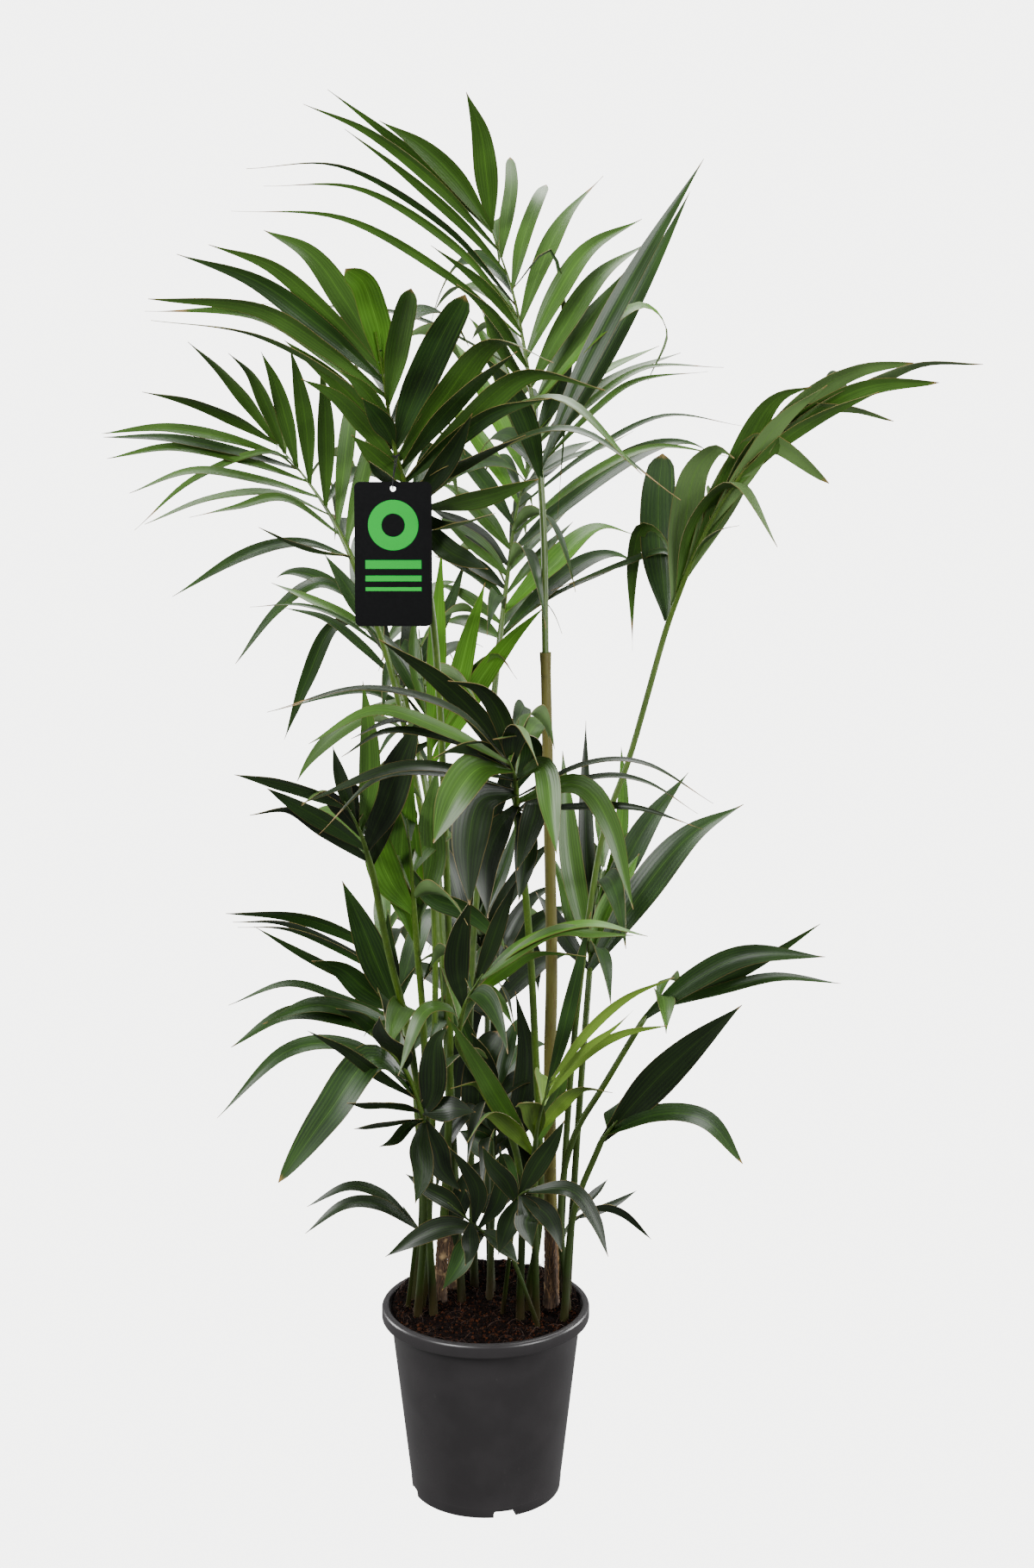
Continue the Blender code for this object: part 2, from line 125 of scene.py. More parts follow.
FRONDS = (
    Frond("top", (76, 10), ((638, 1250, 15), (640, 1100, 25), (633, 757, 30), (632, 640, 35)),
          ((628, 560), (617, 460), (598, 350), (570, 266)), (40, 110),
          ((340, 400), (285, 310), (250, 252), (268, 222), (350, 121), (541, 106)),
          ((825, 430), (817, 190), (765, 400), (750, 270), (745, 200), (592, 175)), (-190, 140),
          (0, 0), 25, (0.35, 0.9)),
    Frond("upper_left", (-54, 28), ((522, 1250, 0), (518, 1000, -35), (505, 740, -65)),
          ((480, 590), (458, 520), (447, 450), (436, 385)), (-90, -190),
          ((200, 400), (170, 362), (172, 347), (235, 290), (306, 267), (397, 313)),
          ((660, 600), (790, 580), (748, 552), (702, 453), (600, 385), (500, 330)), (-100, -170),
          (0, 0), 25, (0.4, 0.9)),
    Frond("left", (-70, 44), ((505, 1200, 30), (500, 1010, 15), (455, 780, 5)),
          ((410, 650), (385, 600), (355, 555), (320, 513)), (-10, 60),
          ((205, 687), (168, 608), (142, 580), (124, 532), (118, 503), (165, 455)),
          ((450, 500), (412, 420), (372, 425), (320, 402), (250, 400), (190, 425)), (-120, 170),
          (0, 0), 21, (0.5, 0.6)),
    Frond("back_left", (-38, 62), ((518, 1200, 72), (500, 950, 105)),
          ((470, 810), (440, 740), (410, 690)), (125, 260),
          ((345, 900), (330, 855), (273, 770), (290, 704), (315, 676)),
          ((560, 760), (540, 700), (500, 640), (420, 620)), (20, 160),
          (2, 3), 23, (0.7, 0.7)),
    Frond("back", (-14, 66), ((545, 1200, 105), (560, 950, 140)),
          ((580, 740), (590, 660), (600, 590), (618, 530)), (180, 300),
          ((515, 725), (512, 650), (510, 580), (500, 450), (515, 385), (560, 360)),
          ((737, 650), (858, 610), (818, 523), (860, 494), (780, 470), (680, 430)), (60, 160),
          (2, 3), 23, (0.7, 0.7)),
    Frond("inner_left", (-28, 20), ((520, 1200, 40), (508, 1000, 55)),
          ((500, 900), (495, 820), (486, 730)), (75, 60),
          ((400, 800), (410, 720), (440, 650), (480, 620)),
          ((640, 800), (632, 704), (563, 675), (513, 625)), (60, -60),
          (0, 0), 30, (0.9, 0.9)),
    Frond("right", (84, 40), ((658, 1300, 50), (674, 1130, 58), (700, 960, 64), (727, 890, 70)),
          ((775, 720), (825, 605), (905, 500), (1040, 430)), (75, -40),
          ((735, 740), (752, 535), (850, 525), (935, 449), (985, 436), (1092, 430)),
          ((745, 740), (903, 640), (965, 565), (1038, 490), (1095, 447), (1141, 423)), (110, -150),
          (0, 0), 29, (0.7, 0.7), lift=0.25, spring=(0.0, 0.8)),
    Frond("front", (46, 0), ((627, 1400, -50), (620, 1190, -105), (612, 1060, -155)),
          ((600, 950), (598, 905), (590, 880)), (-210, -350),
          ((500, 985), (369, 969), (350, 937), (358, 863), (315, 820), (442, 810), (450, 730)),
          ((646, 1000), (735, 1055), (816, 961), (828, 930), (760, 860), (640, 780)), (-90, -60),
          (0, 0), 26, (0.7, 0.7), lift=0.3),
    Frond("middle_left", (-76, 8), ((498, 1450, -15), (480, 1230, -50), (452, 1110, -95)),
          ((432, 1010), (418, 965), (400, 930)), (-145, -235),
          ((300, 1000), (285, 945), (272, 899), (340, 875), (386, 867)),
          ((520, 930), (490, 830), (450, 840), (420, 860)), (-110, -30),
          (0, 0), 27, (0.6, 0.7)),
    Frond("front_left", (-60, -12), ((497, 1400, -40), (492, 1200, -67)),
          ((483, 1090), (478, 1010), (472, 950)), (-92, -147),
          ((390, 1010), (400, 920), (423, 805)),
          ((545, 990), (530, 900), (495, 880), (460, 860)), (-20, 55),
          (0, 0), 34, (0.8, 0.8)),
    Frond("low_left", (-86, 26), ((490, 1400, 24),),
          ((480, 1230), (458, 1160), (440, 1090)), (20, 100),
          ((265, 1230), (265, 1166), (262, 1062), (340, 1060), (396, 1025)),
          ((560, 1180), (520, 1080), (470, 1040), (430, 1030)), (-80, 142),
          (0, 3), 27, (0.6, 0.7)),
    Frond("low_front_left", (-78, -16), ((492, 1420, -68),),
          ((492, 1300), (470, 1240), (430, 1200)), (-122, -168),
          ((323, 1372), (250, 1300), (255, 1235), (300, 1180), (356, 1195)),
          ((540, 1290), (520, 1200), (450, 1130), (380, 1130)), (-150, -5),
          (0, 0), 33, (0.7, 0.7), lift=0.3),
    Frond("back_right", (94, 26), ((674, 1260, 60),),
          ((684, 1130), (690, 1060), (702, 990)), (95, 250),
          ((600, 1060), (645, 970), (653, 871), (680, 836)),
          ((800, 1060), (863, 933), (799, 896), (721, 866)), (80, 150),
          (0, 0), 29, (0.7, 0.7)),
    Frond("middle", (40, -24), ((600, 1340, -87),),
          ((530, 1210), (540, 1165), (560, 1130)), (-150, -245),
          ((460, 1255), (440, 1200), (470, 1130), (530, 1070)),
          ((600, 1195), (690, 1120), (754, 1088), (700, 1040), (610, 1040)), (-110, -60),
          (0, 0), 27, (0.7, 0.8)),
    Frond("young", (58, -28), (),
          ((620, 1340), (625, 1300), (640, 1250)), (-103, -220),
          ((540, 1327), (522, 1263), (570, 1230), (612, 1200)),
          ((711, 1268), (775, 1190), (783, 1134), (735, 1150), (660, 1140)), (-90, -50),
          (0, 0), 28, (0.9, 0.9), shade="young"),
    Frond("low_right", (94, -6), ((650, 1400, -10), (665, 1320, -14), (700, 1260, -17)),
          ((745, 1185), (765, 1160), (790, 1140)), (-20, 20),
          ((900, 1075), (952, 1072)),
          ((975, 1140), (955, 1110)), (90, -70),
          (0, 0), 29, (0.8, 0.8)),
    Frond("foot_right", (90, -28), ((665, 1410, -45),),
          ((697, 1325), (706, 1312), (716, 1300)), (-60, -80),
          ((820, 1160), (861, 1166)),
          ((862, 1350), (850, 1300)), (60, -100),
          (0, 0), 38, (0.9, 0.8), lift=0.3),
    Frond("seedling_left", (-90, 2), (),
          ((484, 1425), (476, 1412), (468, 1400)), (-50, 60),
          ((354, 1431), (348, 1415)),
          ((356, 1400), (375, 1385)), (-30, 60),
          (0, 0), 15, (0.8, 0.8), lift=0.3),
    Frond("seedling_front", (60, -48), ((590, 1450, -103),),
          ((562, 1430), (540, 1412), (520, 1395)), (-110, -150),
          ((513, 1497), (447, 1458), (470, 1361)),
          ((600, 1380), (570, 1340), (540, 1320)), (-20, -20),
          (0, 0), 30, (0.8, 0.8)),
    Frond("seedling_middle", (20, -10), (),
          ((598, 1400), (604, 1386), (615, 1380)), (-128, -200),
          ((617, 1448), (560, 1340), (590, 1320)),
          ((707, 1458), (740, 1420), (660, 1330)), (-20, -30),
          (0, 0), 24, (0.8, 0.8), lift=0.3),
    Frond("seedling_right", (74, 62), (),
          ((655, 1430), (670, 1405), (685, 1390)), (107, 160),
          ((650, 1370), (680, 1350), (705, 1350)),
          ((756, 1438), (745, 1400), (738, 1380)), (-12, 60),
          (0, 0), 17, (0.7, 0.7)),
    Frond("low_middle", (4, 30), (),
          ((572, 1360), (572, 1310), (575, 1260)), (25, 35),
          ((530, 1330), (532, 1250), (548, 1180)),
          ((650, 1300), (645, 1220), (600, 1160)), (-20, 40),
          (2, 2), 26, (0.7, 0.7), shade="shaded"),
    Frond("low_back", (6, 52), ((564, 1300, 110),),
          ((566, 1180), (560, 1120), (552, 1060)), (165, 330),
          ((450, 1130), (455, 1020), (510, 940)),
          ((660, 1110), (660, 1010), (600, 930)), (90, 60),
          (4, 4), 26, (0.7, 0.7), shade="shaded"),
)

# Numbers of the leaflets' skins; the bright one is painted backlight, a lighter green for light shining
# through a leaflet from behind, and the underside's green also serves as painted sheen on some upper faces
DEEP, FRESH, PAINTED_BACKLIGHT, SHADED, TENDER, UNDERSIDE_AND_SHEEN = range(6)

# How a leaflet ends: how fast it tapers, the share of its length in which it is cut off, and how much of it
# lies in the dry tail
POINTED = (1.15, 0.02, 0.0)
BLUNT = (0.25, 0.06, 0.0)
HAIR = (1.9, 0.0, 0.14)
FULL = (0.75, 0.04, 0.0)

# Leaflets that are laid one by one, by leaf: skin, width in mm, end, and (right, down) points of the front
# view
LAID = {
    "top": (
        (FRESH, 27, POINTED, (570, 268), (566, 215), (560, 150), (541, 107)),
        (FRESH, 17, BLUNT, (580, 300), (588, 255), (595, 215), (592, 182)),
        (FRESH, 25, POINTED, (566, 256), (530, 205), (490, 165), (440, 140)),
        (FRESH, 13, POINTED, (571, 270), (505, 198), (440, 148), (380, 104)),
        (FRESH, 15, POINTED, (578, 292), (508, 212), (430, 152), (352, 121)),
        (FRESH, 13, POINTED, (587, 318), (540, 262), (470, 200), (400, 150)),
        (DEEP, 11, HAIR, (596, 358), (520, 262), (400, 192), (286, 196)),
        (FRESH, 11, HAIR, (599, 372), (530, 285), (420, 218), (306, 216)),
        (FRESH, 11, HAIR, (604, 395), (520, 318), (400, 252), (268, 245)),
        (FRESH, 13, POINTED, (603, 385), (580, 350), (550, 320), (500, 285)),
        (FRESH, 15, POINTED, (610, 430), (590, 390), (565, 355), (530, 330)),
        (FRESH, 15, POINTED, (615, 450), (592, 420), (573, 385), (560, 360)),
        (DEEP, 8, HAIR, (612, 440), (550, 400), (460, 362), (300, 352)),
        (FRESH, 18, BLUNT, (591, 335), (606, 280), (624, 232), (634, 214)),
        (FRESH, 23, HAIR, (601, 378), (626, 310), (655, 248), (700, 204)),
        (FRESH, 25, POINTED, (612, 415), (640, 345), (682, 285), (745, 254)),
        (FRESH, 27, POINTED, (616, 450), (652, 380), (696, 315), (752, 281)),
        (FRESH, 26, POINTED, (620, 475), (652, 412), (690, 362), (726, 314)),
        (DEEP, 25, POINTED, (628, 545), (670, 440), (734, 314), (817, 184)),
        (DEEP, 21, POINTED, (631, 540), (690, 435), (745, 335), (801, 222)),
        (PAINTED_BACKLIGHT, 17, POINTED, (622, 500), (660, 455), (710, 425), (765, 401)),
        (FRESH, 15, POINTED, (624, 515), (670, 465), (725, 430), (790, 409)),
        (FRESH, 10, HAIR, (626, 530), (680, 470), (750, 425), (840, 426)),
        (FRESH, 9, HAIR, (627, 540), (690, 475), (740, 440), (822, 431)),
        (PAINTED_BACKLIGHT, 14, POINTED, (619, 470), (690, 390), (745, 352), (776, 385), (752, 442)),
        (DEEP, 6, HAIR, (592, 335), (640, 290), (657, 380), (656, 480), (647, 600)),
        (DEEP, 22, POINTED, (622, 505), (640, 470), (655, 430), (668, 392)),
        (DEEP, 28, POINTED, (628, 556), (618, 500), (592, 445), (560, 412)),
    ),
    "upper_left": (
        (PAINTED_BACKLIGHT, 32, BLUNT, (447, 433), (438, 390), (435, 350), (425, 320), (401, 312)),
        (FRESH, 27, POINTED, (440, 420), (405, 345), (362, 288), (306, 267)),
        (FRESH, 22, POINTED, (442, 430), (385, 362), (320, 305), (242, 284)),
        (DEEP, 25, POINTED, (445, 445), (380, 378), (300, 320), (205, 295)),
        (FRESH, 23, POINTED, (448, 462), (385, 402), (300, 352), (172, 347)),
        (FRESH, 17, HAIR, (452, 482), (390, 420), (300, 362), (168, 361)),
        (FRESH, 15, POINTED, (455, 500), (400, 440), (300, 385), (175, 372)),
        (FRESH, 20, POINTED, (460, 522), (420, 470), (378, 425), (330, 395)),
        (FRESH, 20, POINTED, (466, 545), (430, 500), (390, 455), (350, 440)),
        (FRESH, 18, POINTED, (455, 500), (440, 470), (420, 445), (395, 430)),
        (FRESH, 26, BLUNT, (450, 470), (459, 410), (470, 370), (477, 335)),
        (DEEP, 36, BLUNT, (458, 520), (478, 450), (505, 395), (540, 342)),
        (FRESH, 35, POINTED, (462, 535), (510, 455), (572, 388), (642, 421)),
        (FRESH, 32, POINTED, (470, 560), (535, 482), (612, 425), (702, 453)),
        (FRESH, 22, POINTED, (476, 580), (560, 492), (650, 458), (745, 550)),
        (DEEP, 19, HAIR, (480, 590), (570, 522), (670, 496), (790, 580)),
        (FRESH, 30, POINTED, (480, 590), (520, 590), (570, 578), (625, 556)),
        (SHADED, 28, POINTED, (480, 590), (510, 620), (540, 600), (575, 595)),
        (DEEP, 22, POINTED, (464, 545), (505, 490), (550, 440), (600, 408)),
        (DEEP, 22, POINTED, (470, 560), (520, 510), (575, 472), (640, 462)),
        (SHADED, 24, POINTED, (474, 570), (520, 545), (565, 520), (610, 505)),
        (SHADED, 24, POINTED, (478, 585), (505, 560), (530, 520), (548, 480)),
        (FRESH, 22, POINTED, (468, 560), (450, 545), (430, 520), (408, 505)),
        (DEEP, 20, POINTED, (470, 565), (455, 560), (440, 545), (428, 535)),
        (DEEP, 24, POINTED, (456, 515), (450, 500), (437, 475), (420, 462)),
        (SHADED, 26, POINTED, (482, 600), (515, 640), (540, 650), (566, 660)),
    ),
    "left": (
        (FRESH, 19, POINTED, (320, 515), (292, 465), (258, 425), (218, 397)),
        (FRESH, 19, POINTED, (330, 527), (314, 475), (295, 430), (265, 410)),
        (FRESH, 19, POINTED, (343, 542), (334, 485), (320, 438), (303, 408)),
        (FRESH, 20, POINTED, (360, 560), (357, 490), (348, 440), (336, 402)),
        (FRESH, 20, POINTED, (378, 588), (379, 520), (378, 460), (372, 425)),
        (FRESH, 20, POINTED, (392, 612), (398, 535), (408, 470), (416, 420)),
        (FRESH, 20, POINTED, (402, 632), (416, 570), (432, 510), (440, 470)),
        (FRESH, 19, POINTED, (320, 515), (275, 482), (222, 460), (165, 455)),
        (FRESH, 14, POINTED, (335, 532), (270, 507), (190, 492), (118, 503)),
        (DEEP, 14, POINTED, (345, 545), (275, 522), (195, 504), (120, 507)),
        (FRESH, 14, POINTED, (358, 560), (290, 535), (200, 515), (124, 532)),
        (FRESH, 14, POINTED, (370, 578), (305, 555), (222, 542), (150, 572)),
        (FRESH, 13, POINTED, (384, 598), (320, 568), (240, 575), (168, 608)),
        (FRESH, 12, HAIR, (350, 550), (310, 522), (220, 555), (156, 615)),
        (DEEP, 18, POINTED, (408, 648), (350, 625), (285, 640), (200, 692)),
        (FRESH, 14, POINTED, (408, 645), (375, 642), (335, 628), (300, 612)),
        (FRESH, 13, HAIR, (396, 622), (330, 575), (270, 590), (220, 600)),
    ),
    "back_left": (
        (DEEP, 19, POINTED, (415, 698), (370, 672), (320, 705), (273, 770)),
        (DEEP, 20, POINTED, (428, 720), (385, 722), (352, 790), (330, 858)),
        (FRESH, 15, POINTED, (436, 735), (395, 710), (350, 690), (315, 676)),
        (DEEP, 8, HAIR, (445, 752), (400, 718), (350, 700), (290, 704)),
        (DEEP, 22, POINTED, (440, 740), (420, 705), (395, 670), (376, 642)),
        (SHADED, 20, POINTED, (455, 775), (440, 730), (430, 690), (424, 650)),
        (DEEP, 12, POINTED, (462, 792), (420, 748), (380, 715), (330, 705)),
        (SHADED, 20, POINTED, (465, 800), (475, 740), (480, 700), (482, 660)),
        (DEEP, 18, POINTED, (466, 800), (500, 752), (525, 700), (540, 650)),
        (DEEP, 10, HAIR, (466, 800), (500, 850), (430, 800), (310, 826)),
    ),
    "back": (
        (PAINTED_BACKLIGHT, 21, POINTED, (618, 532), (600, 480), (575, 420), (560, 362)),
        (PAINTED_BACKLIGHT, 22, POINTED, (612, 555), (585, 490), (545, 420), (515, 385)),
        (PAINTED_BACKLIGHT, 22, POINTED, (604, 585), (572, 535), (538, 480), (500, 450)),
        (DEEP, 24, POINTED, (600, 610), (565, 560), (530, 520), (505, 495)),
        (FRESH, 23, POINTED, (596, 640), (560, 595), (530, 565), (508, 560)),
        (FRESH, 22, POINTED, (592, 668), (560, 635), (530, 610), (510, 600)),
        (DEEP, 19, POINTED, (588, 695), (556, 665), (525, 650), (505, 645)),
        (FRESH, 15, POINTED, (582, 725), (550, 695), (525, 680), (505, 678)),
        (DEEP, 8, HAIR, (604, 590), (680, 525), (770, 480), (862, 494)),
        (FRESH, 12, HAIR, (598, 620), (680, 550), (760, 515), (850, 530)),
        (PAINTED_BACKLIGHT, 35, POINTED, (586, 712), (635, 655), (692, 605), (738, 620)),
        (DEEP, 8, HAIR, (582, 735), (640, 690), (700, 665), (765, 636)),
        (FRESH, 17, POINTED, (592, 665), (618, 630), (645, 595), (680, 570)),
        (FRESH, 15, POINTED, (588, 690), (612, 660), (635, 635), (665, 605)),
        (SHADED, 22, POINTED, (594, 655), (560, 625), (530, 600), (500, 590)),
        (SHADED, 22, POINTED, (590, 685), (555, 655), (525, 640), (500, 632)),
        (DEEP, 20, POINTED, (608, 575), (630, 545), (655, 520), (690, 510)),
        (DEEP, 9, HAIR, (612, 560), (660, 530), (700, 520), (735, 500)),
    ),
    "inner_left": (
        (PAINTED_BACKLIGHT, 24, POINTED, (500, 880), (505, 800), (508, 715), (513, 630)),
        (PAINTED_BACKLIGHT, 27, POINTED, (499, 870), (528, 800), (545, 735), (563, 676)),
        (PAINTED_BACKLIGHT, 28, POINTED, (499, 890), (550, 800), (590, 745), (632, 704)),
        (FRESH, 16, POINTED, (496, 830), (484, 780), (480, 740), (483, 705)),
        (DEEP, 22, POINTED, (496, 830), (475, 785), (452, 750), (425, 722)),
        (SHADED, 30, POINTED, (498, 860), (465, 880), (436, 935), (428, 1005)),
        (FRESH, 14, HAIR, (498, 855), (540, 790), (575, 760), (600, 788)),
    ),
    # Some of this leaf's leaflets carry the underside's greyer green on their upper faces too, as painted
    # sheen
    "right": (
        (DEEP, 44, BLUNT, (776, 722), (766, 640), (764, 580), (769, 526)),
        (UNDERSIDE_AND_SHEEN, 38, POINTED, (784, 700), (795, 610), (806, 550), (832, 521), (852, 532)),
        (UNDERSIDE_AND_SHEEN, 38, FULL, (797, 665), (835, 585), (868, 528), (900, 514), (962, 561)),
        (FRESH, 32, FULL, (790, 690), (805, 615), (840, 567), (865, 566), (902, 635)),
        (FRESH, 30, POINTED, (808, 650), (850, 555), (880, 490), (905, 460), (941, 449)),
        (UNDERSIDE_AND_SHEEN, 24, POINTED, (822, 620), (870, 540), (905, 490), (960, 447)),
        (UNDERSIDE_AND_SHEEN, 24, FULL, (830, 600), (871, 524), (925, 478), (985, 474), (1037, 489)),
        (UNDERSIDE_AND_SHEEN, 28, FULL, (840, 585), (890, 510), (946, 455), (1000, 428), (1060, 421)),
        (FRESH, 27, FULL, (845, 575), (903, 508), (957, 471), (1015, 447), (1090, 444)),
        (UNDERSIDE_AND_SHEEN, 29, FULL, (870, 545), (935, 485), (1010, 444), (1070, 421), (1141, 423)),
        (FRESH, 18, POINTED, (860, 555), (910, 510), (960, 480), (1020, 455)),
        (FRESH, 17, HAIR, (787, 680), (770, 622), (745, 612), (734, 660), (734, 755)),
        (DEEP, 10, HAIR, (790, 680), (775, 640), (720, 655), (640, 685)),
        (FRESH, 6, HAIR, (800, 655), (815, 630), (835, 615), (858, 610)),
    ),
    "front": (
        (FRESH, 42, POINTED, (592, 895), (556, 880), (528, 912), (503, 978)),
        (FRESH, 27, POINTED, (598, 905), (632, 884), (641, 935), (646, 991)),
        (FRESH, 25, POINTED, (600, 930), (672, 905), (708, 950), (735, 1055)),
        (SHADED, 27, POINTED, (598, 910), (568, 838), (515, 785), (440, 742)),
        (SHADED, 21, POINTED, (596, 895), (585, 830), (560, 795), (520, 790)),
        (SHADED, 26, POINTED, (594, 890), (592, 852), (608, 838), (624, 888)),
        (DEEP, 24, BLUNT, (600, 915), (622, 868), (610, 846), (572, 858)),
        (SHADED, 12, HAIR, (594, 888), (530, 822), (420, 795), (310, 826)),
        (FRESH, 15, POINTED, (592, 886), (520, 845), (435, 820), (358, 863)),
        (SHADED, 13, POINTED, (595, 892), (530, 858), (450, 845), (396, 878)),
        (SHADED, 13, POINTED, (596, 896), (530, 848), (460, 832), (407, 857)),
        (SHADED, 14, POINTED, (598, 905), (540, 893), (460, 888), (350, 932)),
        (SHADED, 9, HAIR, (599, 915), (530, 898), (440, 900), (370, 968)),
        (SHADED, 9, HAIR, (600, 925), (680, 884), (750, 884), (828, 932)),
        (SHADED, 8, HAIR, (600, 932), (690, 900), (750, 905), (810, 944)),
        (SHADED, 9, HAIR, (600, 940), (670, 935), (740, 935), (816, 962)),
        (SHADED, 42, POINTED, (598, 920), (552, 920), (535, 975), (545, 1050)),
        (SHADED, 36, POINTED, (600, 935), (572, 958), (558, 1000), (566, 1065)),
        (SHADED, 26, POINTED, (600, 940), (625, 925), (618, 965), (600, 1010)),
        (SHADED, 24, POINTED, (596, 896), (560, 862), (530, 860), (503, 880)),
        (SHADED, 26, POINTED, (600, 940), (614, 960), (612, 1000), (602, 1045)),
        (SHADED, 16, HAIR, (600, 945), (570, 960), (590, 900), (602, 835)),
    ),
    "middle_left": (
        (DEEP, 21, POINTED, (404, 938), (360, 915), (318, 898), (272, 899)),
        (SHADED, 22, POINTED, (428, 1000), (385, 960), (340, 930), (290, 946)),
        (DEEP, 24, POINTED, (425, 985), (385, 955), (350, 932), (310, 915)),
        (SHADED, 22, POINTED, (420, 970), (400, 930), (375, 908), (350, 935)),
        (SHADED, 22, BLUNT, (415, 958), (412, 925), (400, 905), (412, 910)),
        (DEEP, 16, POINTED, (412, 952), (402, 925), (393, 895), (386, 866)),
        (SHADED, 40, POINTED, (424, 985), (434, 930), (456, 880), (488, 832)),
        (SHADED, 22, POINTED, (430, 1005), (440, 965), (452, 930), (470, 905)),
        (FRESH, 24, POINTED, (418, 965), (436, 920), (430, 860), (421, 790)),
    ),
    "front_left": (
        (PAINTED_BACKLIGHT, 46, POINTED, (483, 1090), (468, 1020), (468, 960), (480, 895)),
        (PAINTED_BACKLIGHT, 38, POINTED, (481, 1060), (452, 1020), (438, 975), (444, 925)),
        (FRESH, 34, POINTED, (482, 1070), (500, 1000), (500, 945), (508, 890)),
        (SHADED, 24, POINTED, (480, 1040), (462, 990), (470, 1010), (530, 1060)),
        (DEEP, 24, POINTED, (478, 1010), (500, 1040), (545, 1060), (590, 1100)),
    ),
    "low_left": (
        (DEEP, 38, POINTED, (462, 1180), (455, 1115), (440, 1062), (397, 1022)),
        (DEEP, 16, POINTED, (458, 1160), (455, 1125), (456, 1090), (450, 1055)),
        (DEEP, 19, POINTED, (445, 1112), (405, 1075), (340, 1052), (262, 1060)),
        (DEEP, 15, POINTED, (448, 1125), (390, 1085), (330, 1062), (270, 1070)),
        (DEEP, 13, HAIR, (450, 1135), (395, 1092), (335, 1070), (276, 1076)),
        (DEEP, 14, POINTED, (455, 1155), (400, 1135), (345, 1108), (295, 1075)),
        (DEEP, 32, POINTED, (460, 1175), (430, 1130), (395, 1105), (362, 1115)),
        (DEEP, 15, POINTED, (462, 1185), (400, 1152), (335, 1132), (265, 1166)),
        (DEEP, 24, POINTED, (466, 1195), (415, 1172), (360, 1152), (305, 1188)),
        (DEEP, 25, POINTED, (472, 1212), (405, 1195), (330, 1162), (268, 1215)),
        (DEEP, 20, POINTED, (470, 1205), (440, 1195), (415, 1190), (390, 1170)),
    ),
    "low_front_left": (
        (DEEP, 42, FULL, (484, 1275), (435, 1195), (378, 1260), (323, 1372)),
        (DEEP, 20, POINTED, (476, 1255), (410, 1198), (330, 1205), (252, 1297)),
        (SHADED, 15, POINTED, (484, 1275), (445, 1240), (400, 1215), (357, 1196)),
        (SHADED, 23, POINTED, (488, 1290), (455, 1262), (430, 1262), (403, 1280)),
        (SHADED, 17, POINTED, (490, 1298), (465, 1296), (440, 1300), (411, 1310)),
        (SHADED, 15, POINTED, (490, 1300), (475, 1318), (458, 1322), (440, 1330)),
        (SHADED, 30, POINTED, (488, 1290), (505, 1265), (530, 1262), (552, 1290)),
        (SHADED, 34, POINTED, (489, 1295), (500, 1262), (512, 1232), (520, 1190)),
        (SHADED, 28, POINTED, (490, 1300), (482, 1330), (478, 1362), (482, 1396)),
        (SHADED, 30, POINTED, (490, 1298), (513, 1310), (530, 1340), (535, 1382)),
        (SHADED, 26, POINTED, (470, 1240), (455, 1220), (450, 1200), (440, 1180)),
    ),
    "back_right": (
        (FRESH, 30, POINTED, (686, 1110), (664, 1010), (657, 940), (653, 871)),
        (SHADED, 20, POINTED, (688, 1090), (681, 990), (679, 910), (680, 836)),
        (PAINTED_BACKLIGHT, 18, POINTED, (692, 1050), (716, 990), (723, 930), (721, 866)),
        (DEEP, 32, POINTED, (690, 1080), (722, 1010), (755, 950), (799, 896)),
        (DEEP, 42, POINTED, (685, 1125), (745, 1035), (800, 970), (863, 933)),
        (PAINTED_BACKLIGHT, 34, POINTED, (686, 1120), (700, 1070), (722, 1025), (742, 990)),
        (FRESH, 18, POINTED, (688, 1100), (665, 1070), (655, 1030), (640, 990)),
        (SHADED, 24, POINTED, (686, 1125), (660, 1095), (640, 1060), (622, 1035)),
    ),
    "middle": (
        (PAINTED_BACKLIGHT, 20, POINTED, (542, 1165), (575, 1128), (620, 1102), (682, 1110)),
        (PAINTED_BACKLIGHT, 19, POINTED, (550, 1148), (600, 1095), (680, 1068), (752, 1086)),
        (FRESH, 16, POINTED, (556, 1138), (640, 1080), (690, 1085), (735, 1085)),
        (FRESH, 15, POINTED, (540, 1165), (560, 1145), (580, 1158), (596, 1190)),
        (FRESH, 19, POINTED, (545, 1195), (524, 1168), (490, 1172), (462, 1248)),
        (SHADED, 28, POINTED, (540, 1170), (525, 1120), (530, 1080), (548, 1040)),
        (SHADED, 20, POINTED, (552, 1145), (570, 1100), (580, 1060), (600, 1020)),
    ),
    "young": (
        (TENDER, 24, POINTED, (620, 1340), (596, 1300), (565, 1284), (541, 1328)),
        (TENDER, 25, POINTED, (620, 1340), (594, 1288), (556, 1250), (523, 1263)),
        (FRESH, 25, POINTED, (620, 1340), (592, 1294), (555, 1240), (520, 1180)),
        (TENDER, 27, BLUNT, (623, 1320), (624, 1290), (618, 1272), (603, 1280)),
        (TENDER, 19, POINTED, (624, 1315), (644, 1280), (672, 1258), (711, 1268)),
        (TENDER, 13, POINTED, (632, 1275), (675, 1222), (720, 1196), (775, 1190)),
        (TENDER, 12, POINTED, (638, 1255), (680, 1195), (725, 1155), (783, 1134)),
        (TENDER, 8, HAIR, (635, 1262), (680, 1215), (712, 1195), (735, 1172)),
        (FRESH, 22, POINTED, (622, 1330), (640, 1300), (645, 1260), (660, 1225)),
        (DEEP, 17, POINTED, (636, 1272), (652, 1205), (667, 1140), (686, 1058)),
    ),
    "low_right": (
        (DEEP, 30, POINTED, (748, 1182), (795, 1125), (860, 1095), (958, 1110)),
